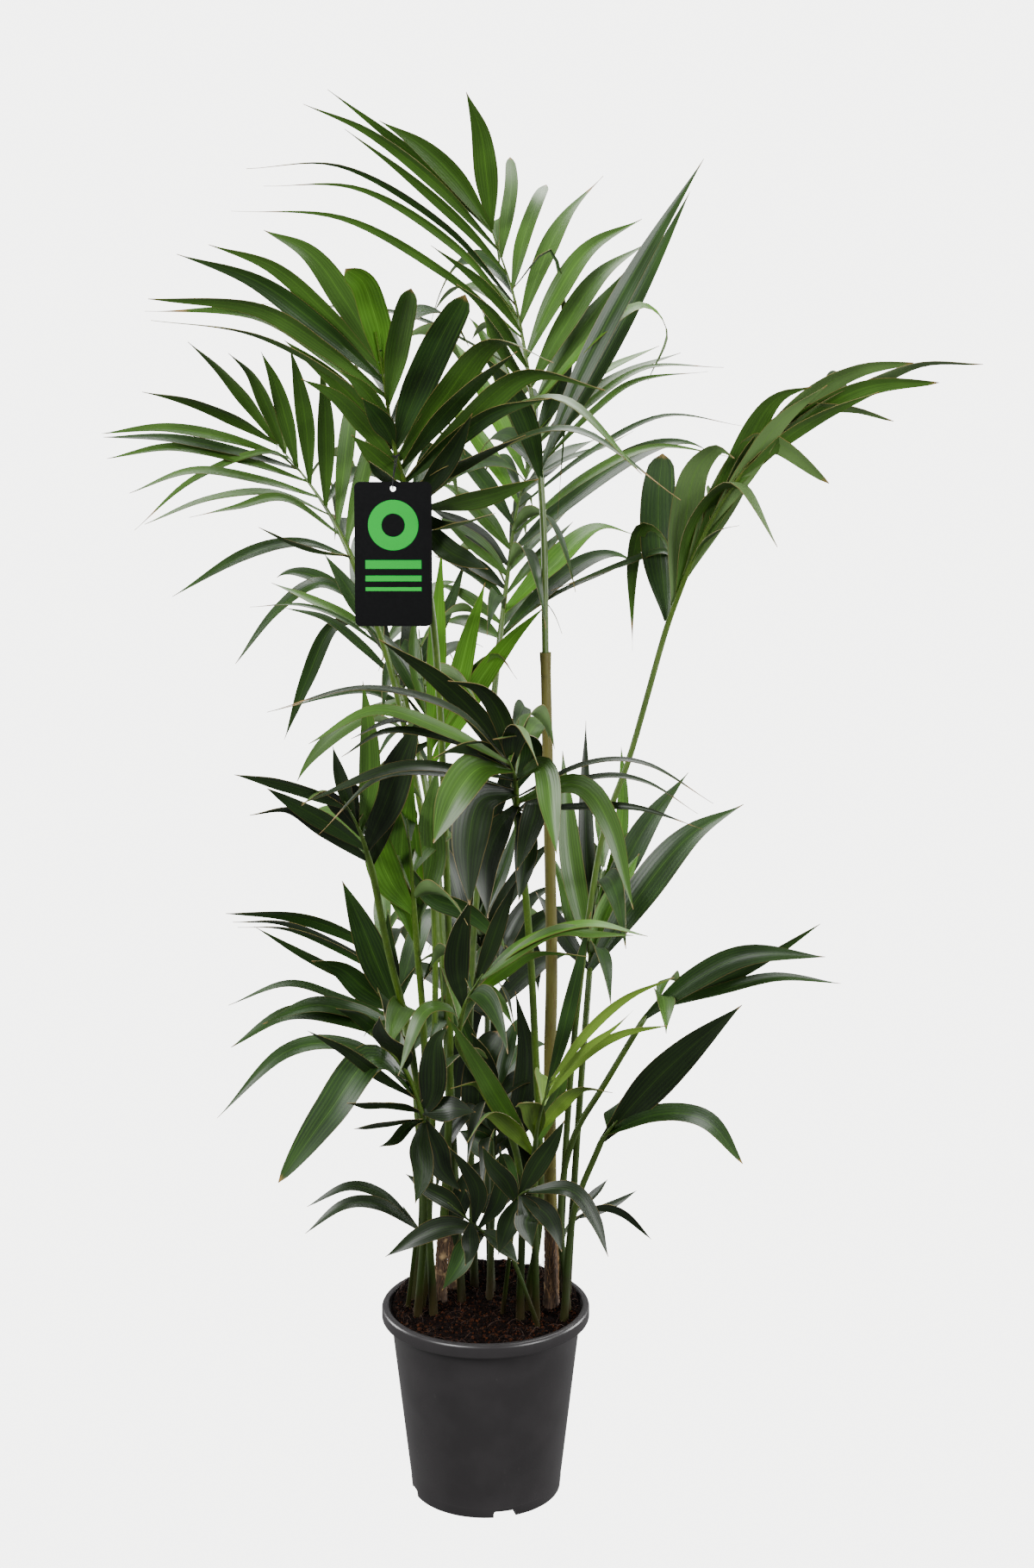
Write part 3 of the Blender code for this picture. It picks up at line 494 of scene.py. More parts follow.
        (DEEP, 17, POINTED, (760, 1165), (830, 1150), (895, 1118), (952, 1072)),
        (DEEP, 16, POINTED, (756, 1172), (830, 1160), (900, 1125), (976, 1141)),
    ),
    "foot_right": (
        (SHADED, 42, POINTED, (699, 1322), (740, 1262), (795, 1200), (861, 1166)),
        (DEEP, 32, FULL, (704, 1316), (758, 1281), (826, 1289), (862, 1350)),
    ),
    "low_middle": (
        (SHADED, 42, BLUNT, (572, 1345), (556, 1285), (560, 1230), (580, 1196)),
        (SHADED, 30, POINTED, (572, 1330), (602, 1290), (612, 1225), (598, 1150)),
        (SHADED, 26, POINTED, (572, 1310), (545, 1290), (520, 1320), (505, 1385)),
        (SHADED, 24, POINTED, (573, 1290), (590, 1260), (620, 1250), (645, 1290)),
        (DEEP, 22, POINTED, (574, 1270), (550, 1220), (530, 1170), (527, 1120)),
        (SHADED, 26, POINTED, (572, 1350), (590, 1380), (560, 1400), (540, 1380)),
        (SHADED, 30, POINTED, (573, 1300), (600, 1330), (620, 1380), (615, 1430)),
        (SHADED, 26, POINTED, (572, 1340), (545, 1370), (530, 1410), (528, 1450)),
    ),
    "low_back": (
        (SHADED, 28, POINTED, (565, 1170), (540, 1120), (520, 1070), (505, 1015)),
        (SHADED, 26, POINTED, (562, 1140), (590, 1085), (615, 1045), (645, 1025)),
        (SHADED, 26, POINTED, (558, 1100), (535, 1050), (520, 1000), (490, 950)),
        (SHADED, 24, POINTED, (560, 1120), (600, 1090), (620, 1110), (625, 1150)),
        (DEEP, 20, POINTED, (555, 1080), (575, 1030), (590, 990), (600, 950)),
        (SHADED, 34, POINTED, (566, 1178), (586, 1220), (600, 1270), (590, 1330)),
        (SHADED, 30, POINTED, (564, 1160), (545, 1190), (530, 1240), (528, 1300)),
    ),
    "seedling_left": (
        (SHADED, 14, POINTED, (480, 1418), (445, 1380), (405, 1370), (356, 1400)),
        (SHADED, 18, POINTED, (484, 1425), (440, 1390), (400, 1390), (354, 1431)),
    ),
    "seedling_front": (
        (SHADED, 26, POINTED, (560, 1428), (525, 1412), (480, 1425), (447, 1458)),
        (DEEP, 27, POINTED, (562, 1430), (545, 1435), (522, 1465), (513, 1497)),
        (SHADED, 22, POINTED, (540, 1412), (520, 1390), (500, 1370), (471, 1362)),
        (SHADED, 22, POINTED, (550, 1420), (565, 1380), (545, 1350), (520, 1330)),
        (SHADED, 24, POINTED, (560, 1428), (575, 1430), (590, 1443), (602, 1466)),
        (SHADED, 22, POINTED, (545, 1420), (552, 1435), (548, 1450), (540, 1468)),
        (SHADED, 22, POINTED, (555, 1425), (585, 1400), (575, 1360), (580, 1330)),
    ),
    "seedling_middle": (
        (SHADED, 30, POINTED, (604, 1386), (612, 1395), (622, 1425), (618, 1448)),
        (SHADED, 21, POINTED, (610, 1383), (665, 1372), (698, 1410), (706, 1458)),
        (SHADED, 24, POINTED, (600, 1396), (585, 1370), (575, 1345), (560, 1330)),
        (SHADED, 26, POINTED, (602, 1390), (590, 1408), (582, 1430), (578, 1456)),
        (SHADED, 24, POINTED, (606, 1388), (640, 1400), (655, 1425), (652, 1452)),
        (SHADED, 24, POINTED, (604, 1388), (625, 1350), (640, 1320), (655, 1300)),
    ),
    "seedling_right": (
        (SHADED, 12, POINTED, (660, 1420), (690, 1396), (722, 1402), (756, 1438)),
        (SHADED, 13, POINTED, (670, 1405), (682, 1395), (692, 1383), (705, 1368)),
        (SHADED, 12, POINTED, (664, 1414), (690, 1408), (715, 1398), (739, 1381)),
    ),
}

# How many leaflets go straight back and straight forward from a leaf's rib, and how long they are in mm
DEEP_LEAFLETS = {"top": (6, 0, 240), "upper_left": (7, 0, 240), "left": (5, 0, 200), "back": (6, 4, 230),
                 "back_left": (4, 2, 170), "inner_left": (4, 2, 190), "right": (4, 0, 150),
                 "front": (7, 0, 220), "middle_left": (5, 0, 180), "front_left": (3, 1, 170),
                 "low_left": (6, 0, 180), "low_front_left": (4, 0, 180), "back_right": (6, 2, 220),
                 "middle": (5, 1, 180), "low_right": (1, 1, 110), "foot_right": (1, 0, 110),
                 "low_middle": (5, 3, 160), "low_back": (6, 4, 220), "young": (2, 0, 110)}

# How far back and how far forward such a leaflet may reach, in metres
REAR_LIMIT = 0.452
FRONT_LIMIT = -0.432

# Share of a leaflet's width by which its middle line lies inside the arched edge that was read, by leaf
EDGE_SHARE = {"top": 0.15, "upper_left": 0.25, "left": 0.3, "back_left": 0.25, "back": 0.25, "front": 0.25,
              "middle_left": 0.4, "low_left": 0.6, "low_front_left": 0.8, "middle": 0.2, "young": 0.3,
              "low_right": 0.55, "foot_right": 0.4, "seedling_left": 0.45, "seedling_front": 0.45,
              "seedling_middle": 0.45, "seedling_right": 0.45}

# Nodes that a frond's leaflets stand for, where the blade is split at its bend
SPLIT_BLADES = {"right": ("frond_right_lower", "frond_right_upper")}

# Trunk under a frond: its node, radius at the soil and at its top, and height
TRUNKS = {
    "top": ("trunk_right", 0.0086, 0.0076, 0.100),
    "upper_left": ("trunk_left", 0.0078, 0.0066, 0.095),
    "back_left": ("trunk_middle", 0.0070, 0.0060, 0.075),
}


def on_view(right, down, depth):
    """World point that the front view shows at right, down, when it lies depth mm behind the pot's axis."""
    ahead = Vector((0, math.cos(TILT), -math.sin(TILT)))
    above = Vector((0, math.sin(TILT), math.cos(TILT)))
    across = Vector((1, 0, 0))
    ray = ahead + across * ((right - VIEW_CENTRE[0]) / VIEW_SCALE)
    ray += above * ((VIEW_CENTRE[1] - down) / VIEW_SCALE)
    return EYE + ray * ((depth * MM - EYE.y) / ray.y)


def along(points, t):
    """Point at t, from 0 to 1, on a smooth curve through evenly spaced points."""
    points = [Vector(point) for point in points]
    last = len(points) - 1
    x = min(max(t, 0.0), 1.0) * last
    k = min(int(x), last - 1)
    u = x - k
    b = points[k]
    c = points[k + 1]
    a = points[k - 1] if k > 0 else 2 * b - c
    d = points[k + 2] if k + 2 <= last else 2 * c - b
    cubic = 3 * b - a - 3 * c + d
    square = 2 * a - 5 * b + 4 * c - d
    return 0.5 * (2 * b + (c - a) * u + square * u ** 2 + cubic * u ** 3)


def rachis_point(frond, t):
    """World point on a leaf's rachis, at t from the blade's base to its tip."""
    right, down = along(frond.rachis, t)
    return on_view(right, down, frond.depth_at(t))


def stalk_points(frond):
    """Points that the stalk runs through, from the soil to the blade's base."""
    foot = Vector((frond.foot[0] * MM, frond.foot[1] * MM, SOIL_TOP + FOOT_CLEARANCE))
    return [foot] + [on_view(*point) for point in frond.stalk] + [rachis_point(frond, 0.0)]


def share_at_height(points, height):
    """Share of the curve through points at which it first reaches a height."""
    steps = 400
    for k in range(steps + 1):
        if along(points, k / steps).z >= height:
            return k / steps
    return 1.0


# Pieces

def deselect():
    """Goes back to object mode, with nothing selected."""
    if bpy.context.object and bpy.context.object.mode != "OBJECT":
        bpy.ops.object.mode_set(mode="OBJECT")
    bpy.ops.object.select_all(action="DESELECT")


def select_only(piece):
    """Makes a piece the active one and the only selected one."""
    deselect()
    piece.select_set(True)
    bpy.context.view_layer.objects.active = piece


def mesh_piece(name, points, faces, uvs, slots):
    """Mesh object from joined arrays, with a UV pair for each point and a material's number for each face."""
    mesh = bpy.data.meshes.new(name)
    mesh.from_pydata([tuple(point) for point in points], [], faces)
    layer = mesh.uv_layers.new(name="leaf_map")
    corners = np.zeros(len(mesh.loops), np.int32)
    mesh.loops.foreach_get("vertex_index", corners)
    layer.data.foreach_set("uv", np.asarray(uvs, np.float32)[corners].ravel())
    mesh.polygons.foreach_set("material_index", np.asarray(slots, np.int32))
    mesh.update()
    piece = bpy.data.objects.new(name, mesh)
    bpy.context.scene.collection.objects.link(piece)
    return piece


def finish_piece(piece, name, materials, replaced, smooth):
    """Names a piece, gives it its materials, puts its place into its mesh and hangs it on the plant.

    replaced names the nodes of the construction model that it stands for, and smooth is the angle in degrees
    up to which its edges are shaded smooth.
    """
    select_only(piece)
    bpy.ops.object.transform_apply(location=True, rotation=True, scale=True)
    piece.name = name
    piece.data.name = name
    for material in materials:
        piece.data.materials.append(material)
    if smooth:
        bpy.ops.object.shade_smooth_by_angle(angle=math.radians(smooth))
    deselect()
    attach(piece, BODY)
    if replaced:
        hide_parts(*replaced)


# Distances in metres up to which points are merged
MERGE_DISTANCE = 1e-5
FINE_MERGE_DISTANCE = 1e-6


def close_and_face_out(piece, distance, fill=False):
    """Merges what meets, fills what is open if asked to, and turns every face outwards."""
    select_only(piece)
    bpy.ops.object.mode_set(mode="EDIT")
    bpy.ops.mesh.select_all(action="SELECT")
    bpy.ops.mesh.remove_doubles(threshold=distance)
    if fill:
        bpy.ops.mesh.fill_holes(sides=0)
    bpy.ops.mesh.normals_make_consistent(inside=False)
    bpy.ops.object.mode_set(mode="OBJECT")


def turned_piece(profile, steps):
    """Closed piece turned about Z: a ring at the first (radius, height) is extruded through the rest."""
    deselect()
    radius, height = profile[0]
    bpy.ops.mesh.primitive_circle_add(vertices=steps, radius=radius, location=(0, 0, height))
    piece = bpy.context.active_object
    bpy.ops.object.transform_apply(location=True)
    bpy.ops.object.mode_set(mode="EDIT")
    bpy.ops.mesh.select_all(action="SELECT")
    bpy.ops.mesh.edge_face_add()
    bpy.ops.mesh.select_all(action="SELECT")
    for wide, high in profile[1:]:
        bpy.ops.mesh.extrude_region_move(TRANSFORM_OT_translate={"value": (0, 0, high - height)})
        bpy.ops.transform.resize(value=(wide / radius, wide / radius, 1), center_override=(0, 0, high))
        radius, height = wide, high
    bpy.ops.object.mode_set(mode="OBJECT")
    close_and_face_out(piece, MERGE_DISTANCE)
    return piece


def cut_away(piece, cutter):
    """Cuts the shape of a second piece out of the first, and removes the second."""
    cut = piece.modifiers.new("cut", "BOOLEAN")
    cut.operation = "DIFFERENCE"
    cut.object = cutter
    select_only(piece)
    bpy.ops.object.modifier_apply(modifier=cut.name)
    bpy.data.objects.remove(cutter, do_unlink=True)


class Heap:
    """Collects many small shapes into the arrays of one joined mesh."""

    def __init__(self):
        self.points = []
        self.faces = []
        self.uvs = []
        self.slots = []
        self.count = 0

    def add(self, points, faces, uvs, slot):
        """Adds a shape; slot is its material's number, or a list with one number for each face."""
        points = np.asarray(points, float)
        self.points.append(points)
        self.uvs.append(np.asarray(uvs, float))
        self.faces.extend([tuple(int(k) + self.count for k in face) for face in faces])
        if isinstance(slot, int):
            slot = [slot] * len(faces)
        self.slots.extend(slot)
        self.count += len(points)

    def piece(self, name):
        """Joined piece of all the shapes so far."""
        return mesh_piece(name, np.vstack(self.points), self.faces, np.vstack(self.uvs), self.slots)


def unit(rows):
    """Rows scaled to the length one."""
    return rows / np.maximum(np.linalg.norm(rows, axis=1, keepdims=True), 1e-9)


def frames_along(line, facing):
    """Side directions and normals of a line, the normals turned to the facing direction."""
    tangents = unit(np.gradient(line, axis=0))
    facing = np.broadcast_to(facing, line.shape)
    normals = unit(facing - tangents * np.sum(facing * tangents, axis=1, keepdims=True))
    return np.cross(tangents, normals), normals


# How strongly each step along a leaflet turns its frame back to the facing direction
FACING_PULL = 0.15


def leaflet_frames(line, facing):
    """Sides and normals of a leaflet, turned to facing where that is plainest and carried on untwisted."""
    tangents = unit(np.gradient(line, axis=0))
    across = facing - tangents * (tangents @ facing)[:, None]
    middle = np.sin(np.pi * np.linspace(0, 1, len(line))) ** 0.5
    start = int(np.argmax(np.linalg.norm(across, axis=1) * middle))
    normals = np.zeros_like(line)
    normals[start] = unit(across[start:start + 1])[0]
    for steps in (range(start + 1, len(line)), range(start - 1, -1, -1)):
        held = normals[start]
        for k in steps:
            pull = FACING_PULL if across[k] @ held >= 0 else -FACING_PULL
            held = held + across[k] * pull
            held = held - tangents[k] * (tangents[k] @ held)
            held = held / np.linalg.norm(held)
            normals[k] = held
    return np.cross(tangents, normals), normals


def sweep(heap, line, radii, facing, section, caps=True):
    """Adds a tube along a line, its cross section (across, up) pairs that turn anticlockwise."""
    line = np.asarray(line, float)
    sides, normals = frames_along(line, facing)
    radii = np.asarray(radii, float).reshape(-1, 1)
    count = len(section)
    rings = []
    uvs = []
    length = np.concatenate([[0], np.cumsum(np.linalg.norm(np.diff(line, axis=0), axis=1))])
    for k, (across, up) in enumerate(section):
        rings.append(line + sides * radii * across + normals * radii * up)
        uvs.append(np.column_stack([np.full(len(line), k / count), length]))
    points = np.stack(rings, axis=1).reshape(-1, 3)
    uvs = np.stack(uvs, axis=1).reshape(-1, 2)
    faces = []
    for ring in range(len(line) - 1):
        for k in range(count):
            a = ring * count + k
            b = ring * count + (k + 1) % count
            faces.append((a, a + count, b + count, b))
    if caps:
        faces.append(tuple(range(count)))
        faces.append(tuple(reversed(range((len(line) - 1) * count, len(line) * count))))
    heap.add(points, faces, uvs, 0)


def round_section(count):
    """Round cross section of count points."""
    return [(math.cos(2 * math.pi * k / count), math.sin(2 * math.pi * k / count)) for k in range(count)]


# Materials

def new_material(name):
    """New material, its node tree and its Principled shader."""
    material = bpy.data.materials.new(name)
    material.use_nodes = True
    tree = material.node_tree
    return material, tree, tree.nodes["Principled BSDF"]


def set_inputs(tree, node, inputs):
    """Sets inputs of a node, each to a value or to a socket that is linked to it."""
    for key, value in inputs.items():
        if isinstance(value, bpy.types.NodeSocket):
            tree.links.new(value, node.inputs[key])
        else:
            node.inputs[key].default_value = value


def add_node(tree, kind, settings=None, inputs=None):
    """Adds a node, with its settings and its inputs, each a value or a socket to link from."""
    node = tree.nodes.new(kind)
    for key, value in (settings or {}).items():
        setattr(node, key, value)
    set_inputs(tree, node, inputs or {})
    return node


def rgba(colour):
    """Opaque colour of a red, green and blue."""
    return (*colour[:3], 1.0)


# Places of the two colours among the mix node's inputs, and of their mix among its outputs
LOW_COLOUR = 6
HIGH_COLOUR = 7
MIXED_COLOUR = 2


def colour_band(tree, share, low, high, bottom=0.0, top=1.0):
    """Mix of two colours, each a colour or a socket, as share goes from bottom to top."""
    place = add_node(tree, "ShaderNodeMapRange", {"interpolation_type": "SMOOTHSTEP"},
                     {"Value": share, "From Min": bottom, "From Max": top})
    inputs = {"Factor": place.outputs["Result"]}
    for key, value in ((LOW_COLOUR, low), (HIGH_COLOUR, high)):
        inputs[key] = value if isinstance(value, bpy.types.NodeSocket) else rgba(value)
    return add_node(tree, "ShaderNodeMix", {"data_type": "RGBA"}, inputs).outputs[MIXED_COLOUR]


def relief(tree, shader, height, depth_mm, strength=1.0):
    """Raises the surface by height times depth."""
    bump = add_node(tree, "ShaderNodeBump", None,
                    {"Strength": strength, "Distance": depth_mm * MM, "Height": height})
    set_inputs(tree, shader, {"Normal": bump.outputs["Normal"]})


def per_mm(size):
    """Noise scale whose features are about size mm across, on coordinates in metres."""
    return 1 / (size * MM)


def moulded_polypropylene(colours):
    """Injection-moulded polypropylene: satin, finely grained by the mould, paler where it is scuffed."""
    material, tree, shader = new_material("moulded_polypropylene")
    place = add_node(tree, "ShaderNodeTexCoord").outputs["Object"]
    cloud = add_node(tree, "ShaderNodeTexNoise", None, {"Vector": place, "Scale": per_mm(45), "Detail": 3.0})
    tone = colour_band(tree, cloud.outputs["Fac"], colours.pot, [c * 1.25 for c in colours.pot], 0.35, 0.7)
    smear = add_node(tree, "ShaderNodeMapping", None, {"Vector": place, "Scale": (1.0, 1.0, 0.12)})
    rub = add_node(tree, "ShaderNodeTexNoise", None,
                   {"Vector": smear.outputs["Vector"], "Scale": per_mm(4), "Detail": 5.0, "Roughness": 0.7})
    tone = colour_band(tree, rub.outputs["Fac"], tone, hex_colour("#6d6a66"), 0.66, 0.86)
    gloss = add_node(tree, "ShaderNodeMapRange", None,
                     {"Value": rub.outputs["Fac"], "To Min": 0.26, "To Max": 0.40})
    # The grain is 0.3 mm on the real pot, drawn at 1.2 mm so that it shows
    grain = add_node(tree, "ShaderNodeTexNoise", None, {"Vector": place, "Scale": per_mm(1.2), "Detail": 1.0})
    relief(tree, shader, grain.outputs["Fac"], 0.05, 0.35)
    set_inputs(tree, shader, {"Base Color": tone, "Roughness": gloss.outputs["Result"], "IOR": 1.49})
    return material


def peat_compost(name, deep, dry, grain_mm):
    """Milled peat with wood fibre: matt, nearly black where it is moist and red-brown where it has dried; its
    colours are also darkened as painted shade.
    """
    material, tree, shader = new_material(name)
    place = add_node(tree, "ShaderNodeTexCoord").outputs["Object"]
    clods = add_node(tree, "ShaderNodeTexNoise", None,
                     {"Vector": place, "Scale": per_mm(grain_mm), "Detail": 6.0, "Roughness": 0.65})
    tone = colour_band(tree, clods.outputs["Fac"], deep, dry, 0.42, 0.68)
    relief(tree, shader, clods.outputs["Fac"], grain_mm / 4, 0.8)
    set_inputs(tree, shader, {"Base Color": tone, "Roughness": 0.92, "Specular IOR Level": 0.08})
    return material


def coir_fibre(name, colour):
    """Dry plant fibre, coarse and matt, as it was torn."""
    material, tree, shader = new_material(name)
    place = add_node(tree, "ShaderNodeTexCoord").outputs["Object"]
    fleck = add_node(tree, "ShaderNodeTexNoise", None, {"Vector": place, "Scale": per_mm(5), "Detail": 2.0})
    tone = colour_band(tree, fleck.outputs["Fac"], [c * 0.55 for c in colour], colour, 0.35, 0.65)
    set_inputs(tree, shader, {"Base Color": tone, "Roughness": 0.85})
    return material


def fibrous_bark(colours):
    """Young palm trunk, grown: matted brown fibre with pale threads; the rings where leaves fell are in the
    trunk's shape.
    """
    material, tree, shader = new_material("grown_fibrous_bark")
    place = add_node(tree, "ShaderNodeTexCoord").outputs["Object"]
    drawn = add_node(tree, "ShaderNodeMapping", None, {"Vector": place, "Scale": (1.0, 1.0, 0.08)})
    thread = add_node(tree, "ShaderNodeTexNoise", None,
                      {"Vector": drawn.outputs["Vector"], "Scale": per_mm(1.6), "Detail": 4.0,
                       "Roughness": 0.6})
    tone = colour_band(tree, thread.outputs["Fac"], hex_colour("#2b1c12"), colours.bark, 0.35, 0.6)
    blotch = add_node(tree, "ShaderNodeTexNoise", None, {"Vector": place, "Scale": per_mm(14), "Detail": 2.0})
    tone = colour_band(tree, blotch.outputs["Fac"], tone, hex_colour("#a58a63"), 0.56, 0.75)
    relief(tree, shader, thread.outputs["Fac"], 0.6)
    set_inputs(tree, shader, {"Base Color": tone, "Roughness": 0.88})
    return material


def dry_leaf_sheath(colours):
    """Leaf sheath, grown and half dried: olive with brown veins along it, slightly waxy."""
    material, tree, shader = new_material("grown_leaf_sheath")
    place = add_node(tree, "ShaderNodeTexCoord").outputs["Object"]
    drawn = add_node(tree, "ShaderNodeMapping", None, {"Vector": place, "Scale": (1.0, 1.0, 0.03)})
    thread = add_node(tree, "ShaderNodeTexNoise", None,
                      {"Vector": drawn.outputs["Vector"], "Scale": per_mm(1.2), "Detail": 3.0})
    tone = colour_band(tree, thread.outputs["Fac"], colours.sheath, hex_colour("#4d4018"), 0.5, 0.72)
    blotch = add_node(tree, "ShaderNodeTexNoise", None, {"Vector": place, "Scale": per_mm(25), "Detail": 3.0})
    tone = colour_band(tree, blotch.outputs["Fac"], tone, hex_colour("#353013"), 0.55, 0.8)
    relief(tree, shader, thread.outputs["Fac"], 0.25)
    set_inputs(tree, shader, {"Base Color": tone, "Roughness": 0.6, "Specular IOR Level": 0.25})
    return material


def leaf_stalk_rind(name, colour, edge):
    """Leaf stalk's rind, grown: smooth and waxy, finely ribbed along, browner and scurfy towards the soil,
    and painted darker green lower down as shade.
    """
    material, tree, shader = new_material(name)
    place = add_node(tree, "ShaderNodeTexCoord").outputs["Object"]
    drawn = add_node(tree, "ShaderNodeMapping", None, {"Vector": place, "Scale": (1.0, 1.0, 0.02)})
    rib = add_node(tree, "ShaderNodeTexNoise", None,
                   {"Vector": drawn.outputs["Vector"], "Scale": per_mm(1.0), "Detail": 2.0})
    tone = colour_band(tree, rib.outputs["Fac"], colour, edge, 0.45, 0.75)
    patch = add_node(tree, "ShaderNodeTexNoise", None, {"Vector": place, "Scale": per_mm(40), "Detail": 4.0})
    tone = colour_band(tree, patch.outputs["Fac"], tone, [c * 0.6 for c in colour], 0.5, 0.75)
    height = add_node(tree, "ShaderNodeSeparateXYZ", None, {"Vector": place}).outputs["Z"]
    ragged = add_node(tree, "ShaderNodeMath", {"operation": "MULTIPLY_ADD"},
                      {0: patch.outputs["Fac"], 1: -0.12, 2: height})
    climb = ragged.outputs["Value"]
    # Painted shade: a darker green over the lower stalks, where the leaves above shade them
    tone = colour_band(tree, climb, hex_colour("#1b280a"), tone, SOIL_TOP - 0.12, SOIL_TOP + 0.36)
    tone = colour_band(tree, climb, hex_colour("#2a2411"), tone, SOIL_TOP - 0.07, SOIL_TOP + 0.01)
    relief(tree, shader, rib.outputs["Fac"], 0.2, 0.7)
    set_inputs(tree, shader, {"Base Color": tone, "Roughness": 0.42, "IOR": 1.45})
    return material


# How far apart the veins are drawn, and the leaflet's width that this is worked out for, in mm
VEIN_SPACING = 3.0
LEAF_WIDTH = 27.0


def leaf_skin(name, deep, fresh, vein, roughness):
    """Palm leaflet's skin, grown: a waxed cuticle ribbed by veins along it, with a pale midrib and dry ends.

    The veins are about 1 mm apart on the real leaflet, drawn at 3 mm so that they show.
    """
    material, tree, shader = new_material(name)
    coords = add_node(tree, "ShaderNodeTexCoord")
    leaf = add_node(tree, "ShaderNodeUVMap", {"uv_map": "leaf_map"})
    split = add_node(tree, "ShaderNodeSeparateXYZ", None, {"Vector": leaf.outputs["UV"]})
    across = split.outputs["X"]
    length = split.outputs["Y"]
    # Cloudy greens, and streaks along the leaflet
    cloud = add_node(tree, "ShaderNodeTexNoise", None,
                     {"Vector": coords.outputs["Object"], "Scale": per_mm(55), "Detail": 1.0})
    tone = colour_band(tree, cloud.outputs["Fac"], deep, fresh, 0.38, 0.68)
    drawn = add_node(tree, "ShaderNodeMapping", None,
                     {"Vector": leaf.outputs["UV"], "Scale": (1.0, 0.12, 1.0)})
    streak = add_node(tree, "ShaderNodeTexNoise", None,
                      {"Vector": drawn.outputs["Vector"], "Scale": 14.0, "Detail": 2.0, "Roughness": 0.6})
    tone = colour_band(tree, streak.outputs["Fac"], tone, vein, 0.50, 1.05)
    # Veins
    phase = add_node(tree, "ShaderNodeMath", {"operation": "MULTIPLY"},
                     {0: across, 1: 2 * math.pi * LEAF_WIDTH / VEIN_SPACING})
    wave = add_node(tree, "ShaderNodeMath", {"operation": "COSINE"}, {0: phase.outputs["Value"]})
    tone = colour_band(tree, wave.outputs["Value"], tone, vein, 0.2, 3.0)
    # Midrib
    off = add_node(tree, "ShaderNodeMath", {"operation": "SUBTRACT"}, {0: across, 1: 0.5})
    aside = add_node(tree, "ShaderNodeMath", {"operation": "ABSOLUTE"}, {0: off.outputs["Value"]})
    tone = colour_band(tree, aside.outputs["Value"], vein, tone, -0.02, 0.030)
    # Brown margin and end
    tone = colour_band(tree, aside.outputs["Value"], tone, hex_colour("#6b5a30"), 0.47, 0.51)
    worn = add_node(tree, "ShaderNodeMath", {"operation": "MULTIPLY_ADD"},
                    {0: streak.outputs["Fac"], 1: 0.05, 2: length})
    tone = colour_band(tree, worn.outputs["Value"], tone, hex_colour("#7a6238"), 0.985, 1.02)
    # The veins crowd together where the leaflet narrows, and lose their height there
    fade = add_node(tree, "ShaderNodeMapRange", None,
                    {"Value": length, "From Min": 0.4, "From Max": 0.85, "To Min": 1.0, "To Max": 0.0})
    height = add_node(tree, "ShaderNodeMath", {"operation": "MULTIPLY"},
                      {0: wave.outputs["Value"], 1: fade.outputs["Result"]})
    relief(tree, shader, height.outputs["Value"], 0.05, 0.6)
    set_inputs(tree, shader, {"Base Color": tone, "Roughness": roughness, "IOR": 1.45,
                              "Specular IOR Level": 0.38})
    return material


def printed_card(colours):
    """Coated board, offset printed: a near-black ground with plain green shapes, and a faint gloss."""
    material, tree, shader = new_material("offset_printed_board")
    face = add_node(tree, "ShaderNodeUVMap", {"uv_map": "leaf_map"}).outputs["UV"]
    split = add_node(tree, "ShaderNodeSeparateXYZ", None, {"Vector": face})
    # A ring
    middle = (CARD_RING_CENTRE[0] * MM, CARD_RING_CENTRE[1] * MM, 0.0)
    distance = add_node(tree, "ShaderNodeVectorMath", {"operation": "DISTANCE"}, {0: face, 1: middle})
    ring = add_node(tree, "ShaderNodeMath", {"operation": "COMPARE"},
                    {0: distance.outputs["Value"], 1: CARD_RING_RADIUS * MM, 2: CARD_RING_REACH * MM})
    mask = ring.outputs["Value"]
    # Bars below it
    for low, high in CARD_BARS:
        bar = add_node(tree, "ShaderNodeMath", {"operation": "COMPARE"},
                       {0: split.outputs["Y"], 1: (low + high) / 2 * MM, 2: (high - low) / 2 * MM})
        inside = add_node(tree, "ShaderNodeMath", {"operation": "COMPARE"},
                          {0: split.outputs["X"], 1: 0.0, 2: CARD_BAR_REACH * MM})
        both = add_node(tree, "ShaderNodeMath", {"operation": "MULTIPLY"},
                        {0: bar.outputs["Value"], 1: inside.outputs["Value"]})
        joined = add_node(tree, "ShaderNodeMath", {"operation": "MAXIMUM"},
                          {0: mask, 1: both.outputs["Value"]})
        mask = joined.outputs["Value"]
    tone = colour_band(tree, mask, colours.card, colours.print)
    place = add_node(tree, "ShaderNodeTexCoord").outputs["Object"]
    pulp = add_node(tree, "ShaderNodeTexNoise", None, {"Vector": place, "Scale": per_mm(3), "Detail": 3.0})
    gloss = add_node(tree, "ShaderNodeMapRange", None,
                     {"Value": pulp.outputs["Fac"], "To Min": 0.26, "To Max": 0.36})
    relief(tree, shader, pulp.outputs["Fac"], 0.05, 0.4)
    set_inputs(tree, shader, {"Base Color": tone, "Roughness": gloss.outputs["Result"],
                              "Specular IOR Level": 0.3})
    return material


def card_core(colours):
    """Uncoated back and edge of the board: the same dark ink, matt."""
    material, tree, shader = new_material("uncoated_board")
    place = add_node(tree, "ShaderNodeTexCoord").outputs["Object"]
    pulp = add_node(tree, "ShaderNodeTexNoise", None, {"Vector": place, "Scale": per_mm(2), "Detail": 3.0})
    tone = colour_band(tree, pulp.outputs["Fac"], colours.card, [c * 1.6 for c in colours.card], 0.3, 0.7)
    set_inputs(tree, shader, {"Base Color": tone, "Roughness": 0.7})
    return material


